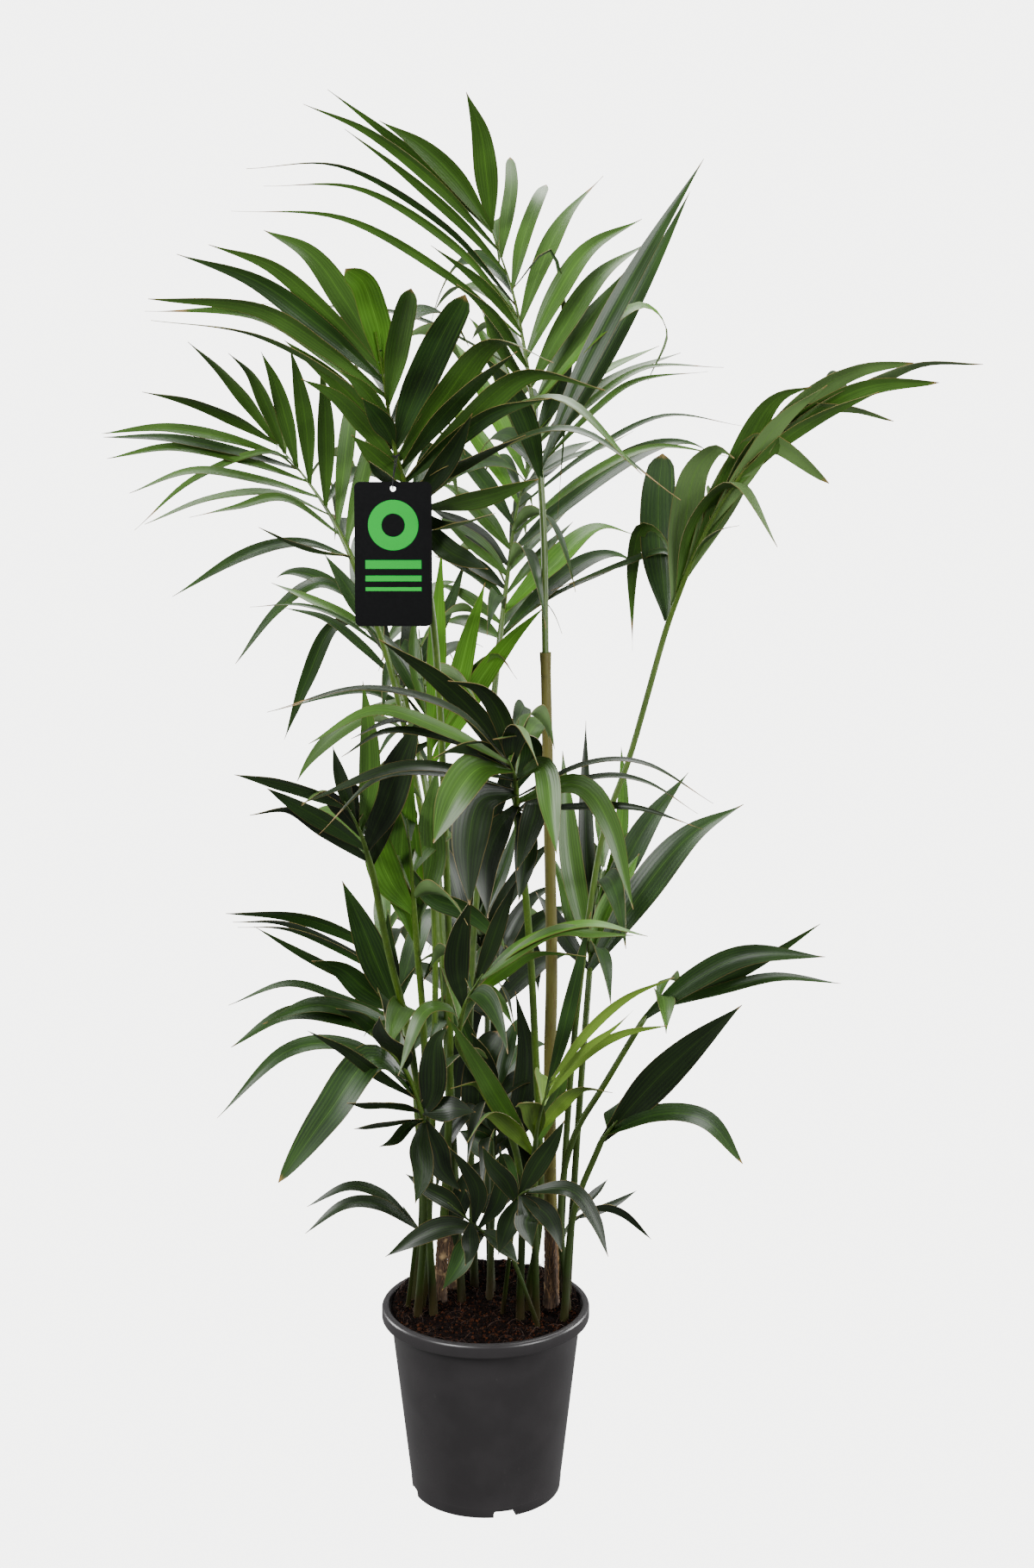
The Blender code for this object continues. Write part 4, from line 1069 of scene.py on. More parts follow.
def spun_thread(colours):
    """Cotton thread, spun and dyed black: matt, with the twist of its strands."""
    material, tree, shader = new_material("spun_cotton_thread")
    lay = add_node(tree, "ShaderNodeUVMap", {"uv_map": "leaf_map"})
    turned = add_node(tree, "ShaderNodeMapping", None,
                      {"Vector": lay.outputs["UV"], "Scale": (1.0, per_mm(3), 1.0)})
    twist = add_node(tree, "ShaderNodeTexWave", {"bands_direction": "DIAGONAL"},
                     {"Vector": turned.outputs["Vector"], "Scale": 1.0})
    tone = colour_band(tree, twist.outputs["Fac"], colours.thread, [c * 2 + 0.01 for c in colours.thread])
    relief(tree, shader, twist.outputs["Fac"], 0.15)
    set_inputs(tree, shader, {"Base Color": tone, "Roughness": 0.9})
    return material


def paper_floor(colour, glow):
    """Seamless background paper, rolled and lit from behind: matt and even, with a barely visible tooth."""
    material, tree, shader = new_material("seamless_paper")
    place = add_node(tree, "ShaderNodeTexCoord").outputs["Object"]
    tooth = add_node(tree, "ShaderNodeTexNoise", None, {"Vector": place, "Scale": per_mm(8), "Detail": 2.0})
    tone = colour_band(tree, tooth.outputs["Fac"], [c * 0.98 for c in colour], colour)
    # The light through the paper outshines what falls on its front, which is left out
    set_inputs(tree, shader, {"Emission Color": tone, "Emission Strength": glow,
                              "Base Color": rgba((0, 0, 0)), "Specular IOR Level": 0.0})
    return material


# Hanging card and its tie in metres, as the construction model has them
CARD_WIDTH = 0.080
CARD_HEIGHT = 0.149
CARD_THICKNESS = 0.0008
CARD_CORNER = 0.006
CARD_HOLE_RADIUS = 0.003
CARD_HOLE_DROP = 0.007
TIE_RADIUS = 0.0006

# Length of the rod that cuts the card's hole, in metres
HOLE_CUTTER_LENGTH = 0.01

# Middle of the card on the front view, its depth in mm, and how many degrees it leans back
CARD_CENTRE = (456.5, 643)
CARD_DEPTH = -142
CARD_LEAN = 4

# Print in mm from the card's middle: a ring round a radius and how far it reaches to either side of it, and
# bars from one height to another
CARD_RING_CENTRE = (0, 30)
CARD_RING_RADIUS = 19
CARD_RING_REACH = 7
CARD_BARS = ((-15, -6), (-28, -22), (-38, -34))
CARD_BAR_REACH = 29

# How far down the front view the tie meets the leaf's rib, and how far from the rib's line it runs
TIE_TOP_DOWN = 528
TIE_REACH = 0.0036

# Points along a strand of the tie, and steps of the coil round the rib and of the knot's loop
STRAND_POINTS = 40
COIL_STEPS = 60
COIL_TURNS = 2
LOOP_STEPS = 24


# Settings that a user would change

def colour_setting(name, code, description):
    """Setting of a colour, from its sRGB hex code."""
    return FloatVectorProperty(name=name, description=description, subtype="COLOR", size=3, min=0, max=1,
                               default=hex_colour(code))


def length_setting(name, default, least, description):
    """Setting of a length in metres."""
    return FloatProperty(name=name, description=description, subtype="DISTANCE", unit="LENGTH",
                         default=default, min=least)


def power_setting(name, default, description):
    """Setting of a light's power in watts."""
    return FloatProperty(name=name, description=description, subtype="POWER", unit="POWER",
                         default=default, min=0.0)


class KENTIA_PG_colours(PropertyGroup):
    """Colours of the finishes."""
    pot: colour_setting("Pot", "#262425", "Moulded plastic of the pot")
    # The compost's colours: its own dark peat, darkened further as painted shade from the leaves above
    soil: colour_setting("Moist compost", "#040202", "Compost where it is moist")
    soil_dry: colour_setting("Dry compost", "#1a0c07", "Compost where it has dried")
    bark: colour_setting("Bark", "#523e2b", "Fibre of the trunks")
    sheath: colour_setting("Sheath", "#524f20", "Leaf sheath on the tallest stem")
    stalk: colour_setting("Leaf stalk", "#3a5212", "Rind of the leaf stalks")
    leaf_deep: colour_setting("Mature leaf, deep", "#172a0e", "Darker green of a grown leaflet")
    leaf_fresh: colour_setting("Mature leaf, fresh", "#2f4917", "Lighter green of a grown leaflet")
    leaf_painted_backlight: colour_setting("Mature leaf, bright", "#385d11", "Green of a leaflet with light behind it")
    # Painted backlight: a lighter green for leaflets that light shines through from behind
    leaf_shaded: colour_setting("Mature leaf, shaded", "#0c1706", "Green of the leaflets inside the clump")
    leaf_vein: colour_setting("Leaf vein", "#55802a", "Veins and midrib of a grown leaflet")
    # The underside's own paler green, made greyer and lighter so that it also serves as painted sheen on
    # upper faces of the right leaf
    leaf_under_and_sheen: colour_setting("Leaf underside", "#4b6136", "Underside of a grown leaflet")
    young: colour_setting("Young leaf", "#526e22", "Leaflets of the newest leaf")
    card: colour_setting("Card", "#030304", "Printed ground of the hanging card")
    print: colour_setting("Print", "#00982f", "Printed shapes on the hanging card")
    thread: colour_setting("Thread", "#0c0c0d", "Tie of the hanging card")
    floor: colour_setting("Floor", "#f4f4f2", "Background paper")


class KENTIA_PG_pot(PropertyGroup):
    """Sizes of the pot."""
    steps: IntProperty(name="Steps", description="Faces round the pot", default=144, min=24, max=360)
    skirt: length_setting("Skirt", 0.0125, 0.002, "Height of the step above the pot's foot")
    step: length_setting("Step", 0.0002, 0.0, "How far the skirt stands proud of the wall")


class KENTIA_PG_soil(PropertyGroup):
    """Sizes of the compost."""
    heave: length_setting("Heave", 0.004, 0.0, "Height of the uneven surface's hills")
    crumbs: IntProperty(name="Crumbs", description="Loose crumbs on the surface", default=5200, min=0)
    crumb_size: length_setting("Crumb size", 0.0022, 0.0005, "Middle size of a crumb")
    fibres: IntProperty(name="Fibres", description="Loose fibres on the surface", default=230, min=0)


class KENTIA_PG_leaves(PropertyGroup):
    """Sizes of the leaflets."""
    thickness: length_setting("Thickness", 0.0006, 0.0001, "Thickness of a leaflet")
    width_scale: FloatProperty(name="Width scale", description="Leaflet width against the measured one",
                               default=1.0, subtype="FACTOR", min=0.2, max=2.0)
    fold: FloatProperty(name="Fold", description="Angle by which each half of a leaflet is raised",
                        default=math.radians(14), subtype="ANGLE", unit="ROTATION")
    segments: IntProperty(name="Segments", description="Faces along a leaflet", default=24, min=6, max=60)


class KENTIA_PG_stage(PropertyGroup):
    """Light and background."""
    sky: FloatProperty(name="Sky", description="Strength of the even light all round", default=0.27, min=0.0)
    paper: FloatProperty(name="Paper glow", description="Strength of the light behind the background paper",
                         default=6.0, min=0.0)
    key: power_setting("Key light", 212.0, "Large soft light at the front left")
    fill: power_setting("Fill light", 135.0, "Large soft light at the front right")
    edge: power_setting("Edge lights", 70.0, "Soft lights behind the plant, left and right")
    back: power_setting("Back light", 200.0, "Soft light above and behind the plant")
    floor_radius: length_setting("Floor radius", 80.0, 1.0, "Radius of the background paper")


# Pot

# Outer sizes in metres: the height and the rim as the construction model has them
POT_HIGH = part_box("pot")[1]
POT_HEIGHT = POT_HIGH.z
RIM_RADIUS = POT_HIGH.x
LIP_HEIGHT = 0.0165
LIP_FOOT = POT_HEIGHT - LIP_HEIGHT
WALL_TOP_RADIUS = 0.1095
WALL_FOOT_RADIUS = 0.0862

# Inside of the pot: the wall narrows to its throat, just below the lip
MOUTH_RADIUS = 0.1115
MOUTH_FOOT = POT_HEIGHT - 0.007
MOUTH_INSET = 0.0015
THROAT = LIP_FOOT - 0.004
WALL = 0.0025
POT_FLOOR = 0.0125

# Shallow band below the lip, and the radii that the edges are rounded to
BAND_DROP = 0.009
BAND_STEP = 0.0005
FOOT_ROUND = 0.0010
LIP_JOINT_ROUND = 0.0014
LIP_UNDER_ROUND = 0.0026
LIP_TOP_ROUND = 0.0046
MOUTH_ROUND = 0.0020

# Drain notches: angles in degrees, sizes in metres, the depth measured inwards from the wall's foot
NOTCH_COUNT = 4
NOTCH_FIRST_ANGLE = -75
NOTCH_WIDTH = 0.026
NOTCH_HEIGHT = 0.008
NOTCH_DEPTH = 0.030
NOTCH_ROUND = 0.0025


def wall_radius(height):
    """Outer radius of the pot's tapered wall."""
    return WALL_FOOT_RADIUS + (WALL_TOP_RADIUS - WALL_FOOT_RADIUS) * height / LIP_FOOT


def inner_radius(height):
    """Inner radius of the pot, which flares above the throat."""
    if height > THROAT:
        share = (height - THROAT) / (MOUTH_FOOT - THROAT)
        throat = wall_radius(THROAT) - WALL
        return throat + (MOUTH_RADIUS - MOUTH_INSET - throat) * min(share, 1.0)
    return wall_radius(height) - WALL


def arc(radius, height, reach, first, last, steps=5):
    """(radius, height) points of a rounded edge: an arc of the given reach, from first to last degrees."""
    points = []
    for k in range(steps + 1):
        angle = math.radians(first + (last - first) * k / steps)
        points.append((radius + reach * math.cos(angle), height + reach * math.sin(angle)))
    return points


def pot_profile(pot):
    """Outline of the pot's wall from its underside over the lip to its inside floor."""
    skirt = pot.skirt
    band = LIP_FOOT - BAND_DROP
    points = [(WALL_FOOT_RADIUS - 0.0016, 0.0)]
    points += arc(WALL_FOOT_RADIUS - 0.0008 + pot.step, FOOT_ROUND, FOOT_ROUND, -80, 0, 4)
    points += [(wall_radius(skirt) + pot.step, skirt - 0.0006), (wall_radius(skirt) + pot.step * 0.6, skirt)]
    points += [(wall_radius(skirt), skirt + 0.0008)]
    points += [(wall_radius(h), h) for h in np.linspace(skirt + 0.02, band - 0.02, 6)]
    points += [(wall_radius(band), band), (wall_radius(band) + BAND_STEP, band + 0.0008)]
    points += [(wall_radius(LIP_FOOT) + BAND_STEP, LIP_FOOT - 0.0016)]
    points += arc(wall_radius(LIP_FOOT) + 0.0020, LIP_FOOT - LIP_JOINT_ROUND, LIP_JOINT_ROUND, 180, 90, 3)
    points += arc(RIM_RADIUS - LIP_UNDER_ROUND, LIP_FOOT + LIP_UNDER_ROUND, LIP_UNDER_ROUND, -90, 0)
    points += arc(RIM_RADIUS - LIP_TOP_ROUND, POT_HEIGHT - LIP_TOP_ROUND, LIP_TOP_ROUND, 8, 90, 7)
    points += arc(MOUTH_RADIUS + MOUTH_ROUND, POT_HEIGHT - MOUTH_ROUND, MOUTH_ROUND, 90, 180, 4)
    points += [(MOUTH_RADIUS - MOUTH_INSET, MOUTH_FOOT), (inner_radius(THROAT), THROAT)]
    points += [(inner_radius(POT_FLOOR) - 0.0002, POT_FLOOR)]
    return points


class KENTIA_OT_pot(Operator):
    """Make the moulded pot with its rolled lip, its stepped foot and its drain notches"""
    bl_idname = "kentia.pot"
    bl_label = "Pot"

    def execute(self, context):
        pot = context.scene.kentia_pot
        piece = turned_piece(pot_profile(pot), pot.steps)
        for k in range(NOTCH_COUNT):
            angle = math.radians(NOTCH_FIRST_ANGLE + 360 / NOTCH_COUNT * k)
            deselect()
            bpy.ops.mesh.primitive_cube_add(size=1.0)
            cutter = context.active_object
            bpy.ops.object.mode_set(mode="EDIT")
            bpy.ops.mesh.select_all(action="SELECT")
            bpy.ops.transform.resize(value=(NOTCH_DEPTH * 2, NOTCH_WIDTH, NOTCH_HEIGHT * 2))
            bpy.ops.mesh.bevel(offset=NOTCH_ROUND, offset_type="OFFSET", segments=4, affect="EDGES")
            bpy.ops.object.mode_set(mode="OBJECT")
            cutter.location = (WALL_FOOT_RADIUS * math.cos(angle), WALL_FOOT_RADIUS * math.sin(angle), 0.0)
            cutter.rotation_euler = (0.0, 0.0, angle)
            cut_away(piece, cutter)
        material = moulded_polypropylene(context.scene.kentia_colours)
        finish_piece(piece, "nursery_pot", [material], ("pot",), 35)
        return {"FINISHED"}


# Compost

# Faces round the surface and rings across it
SOIL_STEPS = 132
SOIL_RINGS = 46

# How far below the compost's top its surface is laid before it is heaved, and how far it keeps from the wall
SURFACE_DROP = 0.002
SOIL_CLEARANCE = 0.0004

# Hills and grit of the surface, in waves to the metre
HILL_WAVES = 38
GRIT_WAVES = 260

# Heap against the rim: the radius it starts at and its span, where it starts from the front, how far back it
# reaches its height, and that height, in metres
HEAP_RADIUS = 0.070
HEAP_SPAN = 0.035
HEAP_FRONT = -0.01
HEAP_RUN = 0.09
HEAP_HEIGHT = 0.0165

# Loose fibres: steps along each, the thinnest and thickest, and how far they keep from the wall
FIBRE_STEPS = 6
FIBRE_RADII = (0.00012, 0.00030)
FIBRE_MARGIN = 0.0015


def soil_height(x, y, heave):
    """Height of the compost's uneven surface, heaped against the rim at the back."""
    place = Vector((x, y, 0))
    hills = noise.fractal(place * HILL_WAVES, 1.0, 2.0, 4, noise_basis="PERLIN_ORIGINAL")
    grit = noise.noise(place * GRIT_WAVES)
    edge = min(max((math.hypot(x, y) - HEAP_RADIUS) / HEAP_SPAN, 0.0), 1.0)
    back = min(max((y - HEAP_FRONT) / HEAP_RUN, 0.0), 1.0)
    return SOIL_TOP - 0.001 + heave * (0.9 * hills + 0.28 * grit) + HEAP_HEIGHT * edge * back


def rock(rng, size, flat):
    """Points of one small lump, whose faces are LUMP_FACES."""
    t = (1 + math.sqrt(5)) / 2
    raw = [(-1, t, 0), (1, t, 0), (-1, -t, 0), (1, -t, 0), (0, -1, t), (0, 1, t),
           (0, -1, -t), (0, 1, -t), (t, 0, -1), (t, 0, 1), (-t, 0, -1), (-t, 0, 1)]
    stretch = Vector((rng.uniform(0.7, 1.4), rng.uniform(0.6, 1.0), flat * rng.uniform(0.7, 1.1)))
    turn = Euler((rng.uniform(-0.7, 0.7), rng.uniform(-0.7, 0.7), rng.uniform(0, math.tau))).to_matrix()
    points = []
    for point in raw:
        spoke = Vector(point).normalized() * rng.uniform(0.7, 1.15) * size / 2
        points.append(turn @ Vector([spoke[k] * stretch[k] for k in range(3)]))
    return points


LUMP_FACES = ((0, 11, 5), (0, 5, 1), (0, 1, 7), (0, 7, 10), (0, 10, 11), (1, 5, 9), (5, 11, 4), (11, 10, 2),
              (10, 7, 6), (7, 1, 8), (3, 9, 4), (3, 4, 2), (3, 2, 6), (3, 6, 8), (3, 8, 9), (4, 9, 5),
              (2, 4, 11), (6, 2, 10), (8, 6, 7), (9, 8, 1))


class KENTIA_OT_soil(Operator):
    """Make the compost with its loose crumbs, bark chips and fibres"""
    bl_idname = "kentia.soil"
    bl_label = "Compost"

    def execute(self, context):
        soil = context.scene.kentia_soil
        colours = context.scene.kentia_colours
        rng = random.Random(SEED)
        top = SOIL_TOP - SURFACE_DROP
        radius = inner_radius(top) - SOIL_CLEARANCE
        profile = [(inner_radius(POT_FLOOR) - 0.001, POT_FLOOR + 0.0003)]
        profile += [(inner_radius(THROAT) - SOIL_CLEARANCE, THROAT)]
        profile += [(radius * (1 - k / SOIL_RINGS) + 0.0006, top) for k in range(SOIL_RINGS)]
        piece = turned_piece(profile, SOIL_STEPS)
        for vertex in piece.data.vertices:
            if vertex.co.z > THROAT + 0.001:
                vertex.co.z = soil_height(vertex.co.x, vertex.co.y, soil.heave)
        ground = peat_compost("milled_peat", colours.soil, colours.soil_dry, 3.0)
        finish_piece(piece, "compost", [ground], ("soil",), 60)
        # Colours of the crumbs, darkened as painted shade like the compost's own
        dried = (hex_colour("#1c0e08"), hex_colour("#47230f"))
        bark = (hex_colour("#22130b"), hex_colour("#4d321e"))
        kinds = (
            ("peat_crumbs", 0.62, 0.8, peat_compost("peat_crumb", colours.soil, hex_colour("#170b06"), 2.0)),
            ("dry_crumbs", 0.28, 0.8, peat_compost("dried_peat_crumb", *dried, 2.0)),
            ("bark_chips", 0.10, 0.35, peat_compost("bark_chip", *bark, 2.5)),
        )
        for name, share, flat, material in kinds:
            self.crumbs(soil, rng, radius, name, share, flat, material)
        self.fibres(soil, rng, radius)
        return {"FINISHED"}

    def spot(self, rng, radius):
        """Random place on the surface."""
        angle = rng.uniform(0, math.tau)
        reach = (radius - 0.003) * math.sqrt(rng.random())
        return reach * math.cos(angle), reach * math.sin(angle)

    def crumbs(self, soil, rng, radius, name, share, flat, material):
        """Loose crumbs of one kind, as a share of them all; flat is their height against their width."""
        heap = Heap()
        for _ in range(int(soil.crumbs * share)):
            x, y = self.spot(rng, radius)
            size = soil.crumb_size * rng.lognormvariate(0, 0.42)
            lift = Vector((x, y, soil_height(x, y, soil.heave) + size * flat * 0.2))
            points = [point + lift for point in rock(rng, size, flat)]
            heap.add(points, LUMP_FACES, [(0, 0)] * len(points), 0)
        finish_piece(heap.piece(name), name, [material], (), 0)

    def fibres(self, soil, rng, radius):
        """Loose fibres, more of them where the compost is heaped at the back."""
        limit = radius - FIBRE_MARGIN
        heap = Heap()
        for k in range(soil.fibres):
            x, y = self.spot(rng, radius)
            if k % 3 == 0:
                angle = math.radians(rng.uniform(20, 160))
                x = radius * 0.97 * math.cos(angle)
                y = radius * 0.97 * math.sin(angle)
            length = rng.uniform(0.005, 0.022)
            heading = rng.uniform(0, math.tau)
            bend = rng.uniform(-1.2, 1.2)
            rise = rng.uniform(0.0, 0.4)
            line = []
            for step in range(FIBRE_STEPS + 1):
                share = step / FIBRE_STEPS
                turn = heading + bend * share
                x += length / FIBRE_STEPS * math.cos(turn)
                y += length / FIBRE_STEPS * math.sin(turn)
                reach = math.hypot(x, y)
                if reach > limit:
                    x *= limit / reach
                    y *= limit / reach
                arch = rise * length * math.sin(math.pi * share)
                line.append((x, y, soil_height(x, y, soil.heave) + 0.0008 + arch))
            radii = [rng.uniform(*FIBRE_RADII)] * (FIBRE_STEPS + 1)
            sweep(heap, line, radii, (0, 0, 1), round_section(3))
        material = coir_fibre("torn_coir_fibre", hex_colour("#3c2314"))
        finish_piece(heap.piece("compost_fibres"), "compost_fibres", [material], (), 60)


# Trunks and leaf stalks

def wrapped_tube(line, facing, radius_at, sides, relief_at=None):
    """Closed tube made from a grid that is wrapped round a line.

    radius_at takes the share of the line and the angle; relief_at takes these and the point to be raised.
    """
    rows = len(line) - 1
    deselect()
    bpy.ops.mesh.primitive_grid_add(x_subdivisions=sides, y_subdivisions=rows, size=2.0)
    piece = bpy.context.active_object
    line = np.asarray(line, float)
    across, normals = frames_along(line, facing)
    for vertex in piece.data.vertices:
        angle = math.pi * vertex.co.x
        share = (vertex.co.y + 1) / 2
        k = min(int(round(share * rows)), rows)
        spoke = across[k] * math.cos(angle) + normals[k] * math.sin(angle)
        reach = radius_at(share, angle)
        vertex.co = line[k] + spoke * reach
        if relief_at:
            vertex.co = line[k] + spoke * (reach + relief_at(share, angle, vertex.co))
    close_and_face_out(piece, FINE_MERGE_DISTANCE, fill=True)
    return piece


def even_line(points, start, end, count):
    """Evenly spaced points on the stretch of a smooth curve from start to end."""
    steps = 200
    fine = np.array([along(points, start + (end - start) * k / steps) for k in range(steps + 1)])
    run = np.concatenate([[0], np.cumsum(np.linalg.norm(np.diff(fine, axis=0), axis=1))])
    wanted = np.linspace(0, run[-1], count)
    return np.column_stack([np.interp(wanted, run, fine[:, k]) for k in range(3)])


def soften(line, passes):
    """Line with its corners rounded and its ends kept."""
    line = np.array(line, float)
    for _ in range(passes):
        line[1:-1] = 0.25 * line[:-2] + 0.5 * line[1:-1] + 0.25 * line[2:]
    return line


def outward(frond):
    """Level direction that a frond leans in."""
    tip = rachis_point(frond, 1.0)
    lean = Vector((tip.x - frond.foot[0] * MM, tip.y - frond.foot[1] * MM, 0))
    return lean.normalized()


def channel(angle, depth):
    """Share of the radius left where the stalk's upper side is grooved."""
    off = ((angle + math.pi / 2) % math.tau - math.pi) / 0.6
    return 1 - depth * math.exp(-off * off)


# Trunk: points along it, faces round it, and how far it is sunk into the compost
TRUNK_POINTS = 56
TRUNK_SIDES = 40
TRUNK_SINK = 0.004

# Loose fibres on a trunk, the steps along each and how thick they are
THREADS_PER_TRUNK = 46
THREAD_STEPS = 7
THREAD_RADIUS = 0.00022

# Leaf sheath: points along it, faces round it, how far it is sunk into the trunk, the number of the stalk's
# point that it ends at, and its radii at its foot and its end
SHEATH_POINTS = 90
SHEATH_SIDES = 28
SHEATH_SINK = 0.003
SHEATH_END = 2
SHEATH_FOOT_RADIUS = 0.0074
SHEATH_END_RADIUS = 0.0057


class KENTIA_OT_trunks(Operator):
    """Make the fibrous trunks and the leaf sheath on the tallest one"""
    bl_idname = "kentia.trunks"
    bl_label = "Trunks"

    def execute(self, context):
        colours = context.scene.kentia_colours
        bark = fibrous_bark(colours)
        threads = Heap()
        rng = random.Random(SEED + 1)
        for frond in FRONDS:
            if frond.name not in TRUNKS:
                continue
            node, wide, narrow, tall = TRUNKS[frond.name]
            points = stalk_points(frond)
            end = share_at_height(points, SOIL_TOP + tall)
            line = even_line(points, 0.0, end, TRUNK_POINTS)
            line[0] -= np.array((0, 0, TRUNK_SINK))

            def radius_at(share, angle):
                flare = 0.22 * math.exp(-share / 0.10)
                return (wide + (narrow - wide) * share) * (0.94 + flare)

            def relief_at(share, angle, point):
                strands = noise.noise(Vector((math.cos(angle) * 4, math.sin(angle) * 4, share * 3)) * 2.2)
                ring = math.exp(-((share * 6 % 1 - 0.5) / 0.10) ** 2)
                ragged = noise.noise(Vector(point) * 300)
                return 0.0007 * strands + 0.0006 * ring + 0.0003 * ragged

            piece = wrapped_tube(line, -outward(frond), radius_at, TRUNK_SIDES, relief_at)
            finish_piece(piece, "fibrous_" + node, [bark], (node,), 60)
            for _ in range(THREADS_PER_TRUNK):
                self.thread(threads, rng, line, wide, narrow)
            if frond.name == "top":
                self.sheath(colours, frond, points, end)
        material = coir_fibre("matted_trunk_fibre", hex_colour("#93704a"))
        finish_piece(threads.piece("trunk_threads"), "trunk_threads", [material], (), 60)
        return {"FINISHED"}

    def thread(self, threads, rng, line, wide, narrow):
        """Loose fibre that runs up a trunk and stands off at its end."""
        first = rng.uniform(0.0, 0.75)
        angle = rng.uniform(0, math.tau)
        drift = rng.uniform(-0.9, 0.9)
        reach = rng.uniform(0.10, 0.28)
        strand = []
        for step in range(THREAD_STEPS + 1):
            share = min(first + reach * step / THREAD_STEPS, 1.0)
            centre = line[min(int(round(share * (len(line) - 1))), len(line) - 1)]
            stand = 0.0022 * (step / THREAD_STEPS) ** 2 * rng.uniform(0.3, 1.0)
            away = (wide + (narrow - wide) * share) * 1.02 + stand
            turn = angle + drift * step / THREAD_STEPS
            strand.append(centre + np.array((math.cos(turn) * away, math.sin(turn) * away, 0)))
        sweep(threads, strand, [THREAD_RADIUS] * (THREAD_STEPS + 1), (0.1, -1, 0.1), round_section(3))

    def sheath(self, colours, frond, points, start):
        """Sheath that wraps the leaf stalk and ends in a torn collar."""
        end = share_at_height(points, on_view(*frond.stalk[SHEATH_END]).z)
        line = even_line(points, start, end, SHEATH_POINTS)
        line[0] -= np.array((0, 0, SHEATH_SINK))

        def radius_at(share, angle):
            radius = SHEATH_FOOT_RADIUS + (SHEATH_END_RADIUS - SHEATH_FOOT_RADIUS) * share
            collar = 0.0009 * math.exp(-((1 - share) / 0.02) ** 2)
            foot = 0.0012 * math.exp(-share / 0.03)
            return (radius + collar + foot) * channel(angle, 0.05 + 0.25 * share ** 6)

        def relief_at(share, angle, point):
            return 0.0003 * noise.noise(Vector((math.cos(angle) * 6, math.sin(angle) * 6, share * 5)))

        piece = wrapped_tube(line, -outward(frond), radius_at, SHEATH_SIDES, relief_at)
        finish_piece(piece, "sheath_wrap", [dry_leaf_sheath(colours)], ("sheath_right",), 60)


# Radii of a leaf stalk in metres: at the soil, at the blade, at a seedling's foot and at the rib's tip
STALK_FOOT_RADIUS = 0.0042
STALK_BLADE_RADIUS = 0.0038
SEEDLING_RADIUS = 0.0026
RIB_TIP_RADIUS = 0.0007

# Points along a stalk, steps along its rib and faces round both, how far a stalk is sunk into the compost,
# and how far into its trunk
STALK_POINTS = 44
RIB_STEPS = 30
STALK_SIDES = 12
STALK_SINK = 0.006
TRUNK_OVERLAP = 0.01


def stalk_line(frond, first):
    """Line from the share first of a leaf's stalk to its rib's tip, and the share where the rib begins."""
    stalk = even_line(stalk_points(frond), first, 1.0, STALK_POINTS)
    rib = np.array([rachis_point(frond, k / RIB_STEPS) for k in range(RIB_STEPS + 1)])
    line = np.vstack([stalk, rib[1:]])
    return soften(line, 3), len(stalk) / len(line)


class KENTIA_OT_stalks(Operator):
    """Make the leaf stalks, each one tapering on into the rib of its blade"""
    bl_idname = "kentia.stalks"
    bl_label = "Leaf stalks"

    def execute(self, context):
        colours = context.scene.kentia_colours
        grown = leaf_stalk_rind("waxy_leaf_stalk", colours.stalk, hex_colour("#4f6420"))
        shaded = leaf_stalk_rind("shaded_leaf_stalk", hex_colour("#30461a"), hex_colour("#4a4f22"))
        for frond in FRONDS:
            points = stalk_points(frond)
            first = 0.0
            if frond.name in TRUNKS:
                first = share_at_height(points, SOIL_TOP + TRUNKS[frond.name][3] - TRUNK_OVERLAP)
            line, blade = stalk_line(frond, first)
            if frond.name not in TRUNKS:
                line[0] -= np.array((0, 0, STALK_SINK))
            foot = SEEDLING_RADIUS if frond.name.startswith("seedling") else STALK_FOOT_RADIUS
            top = min(STALK_BLADE_RADIUS, foot * 0.9)

            def radius_at(share, angle):
                if share < blade:
                    radius = foot + (top - foot) * share / blade
                    radius *= 1 + 0.30 * math.exp(-share / 0.05)
                else:
                    radius = top + (RIB_TIP_RADIUS - top) * ((share - blade) / (1 - blade)) ** 0.8
                return radius * channel(angle, 0.32)

            piece = wrapped_tube(line, UP * 0.6 - outward(frond), radius_at, STALK_SIDES)
            material = shaded if frond.shade == "shaded" else grown
            finish_piece(piece, "leaf_stalk_" + frond.name, [material], ("stalk_" + frond.name,), 50)
        return {"FINISHED"}


# Leaflets

# Cross section of a leaflet, where along it it is widest, and its width at its base against the widest
ACROSS = (-1.0, -0.5, 0.0, 0.5, 1.0)
WIDEST = 0.42
BASE_WIDTH = 0.20

# Width of a laid leaflet against the one read off the front view, the bend in mm of that view from which its
# middle line lies inside the arch in full, and the steps in which the rib is searched for its base
LAID_WIDTH = 0.98
FULL_BEND = 8.0
SEARCH_STEPS = 60

# How far the tips of the leaflets that follow a rule are spread on the front view and in depth, in mm, and
# how many degrees a leaflet that goes back or forward turns to either side
TIP_SPREAD = 7
TIP_DEPTH_SPREAD = 20
BEARING_SPREAD = 26

# Usual and rarer skin of the leaflets that follow a rule, by shade, and the share of the rarer one
FRESH_SHARE = 0.3
SHADES = {"mature": (DEEP, FRESH), "young": (TENDER, TENDER), "shaded": (SHADED, DEEP)}


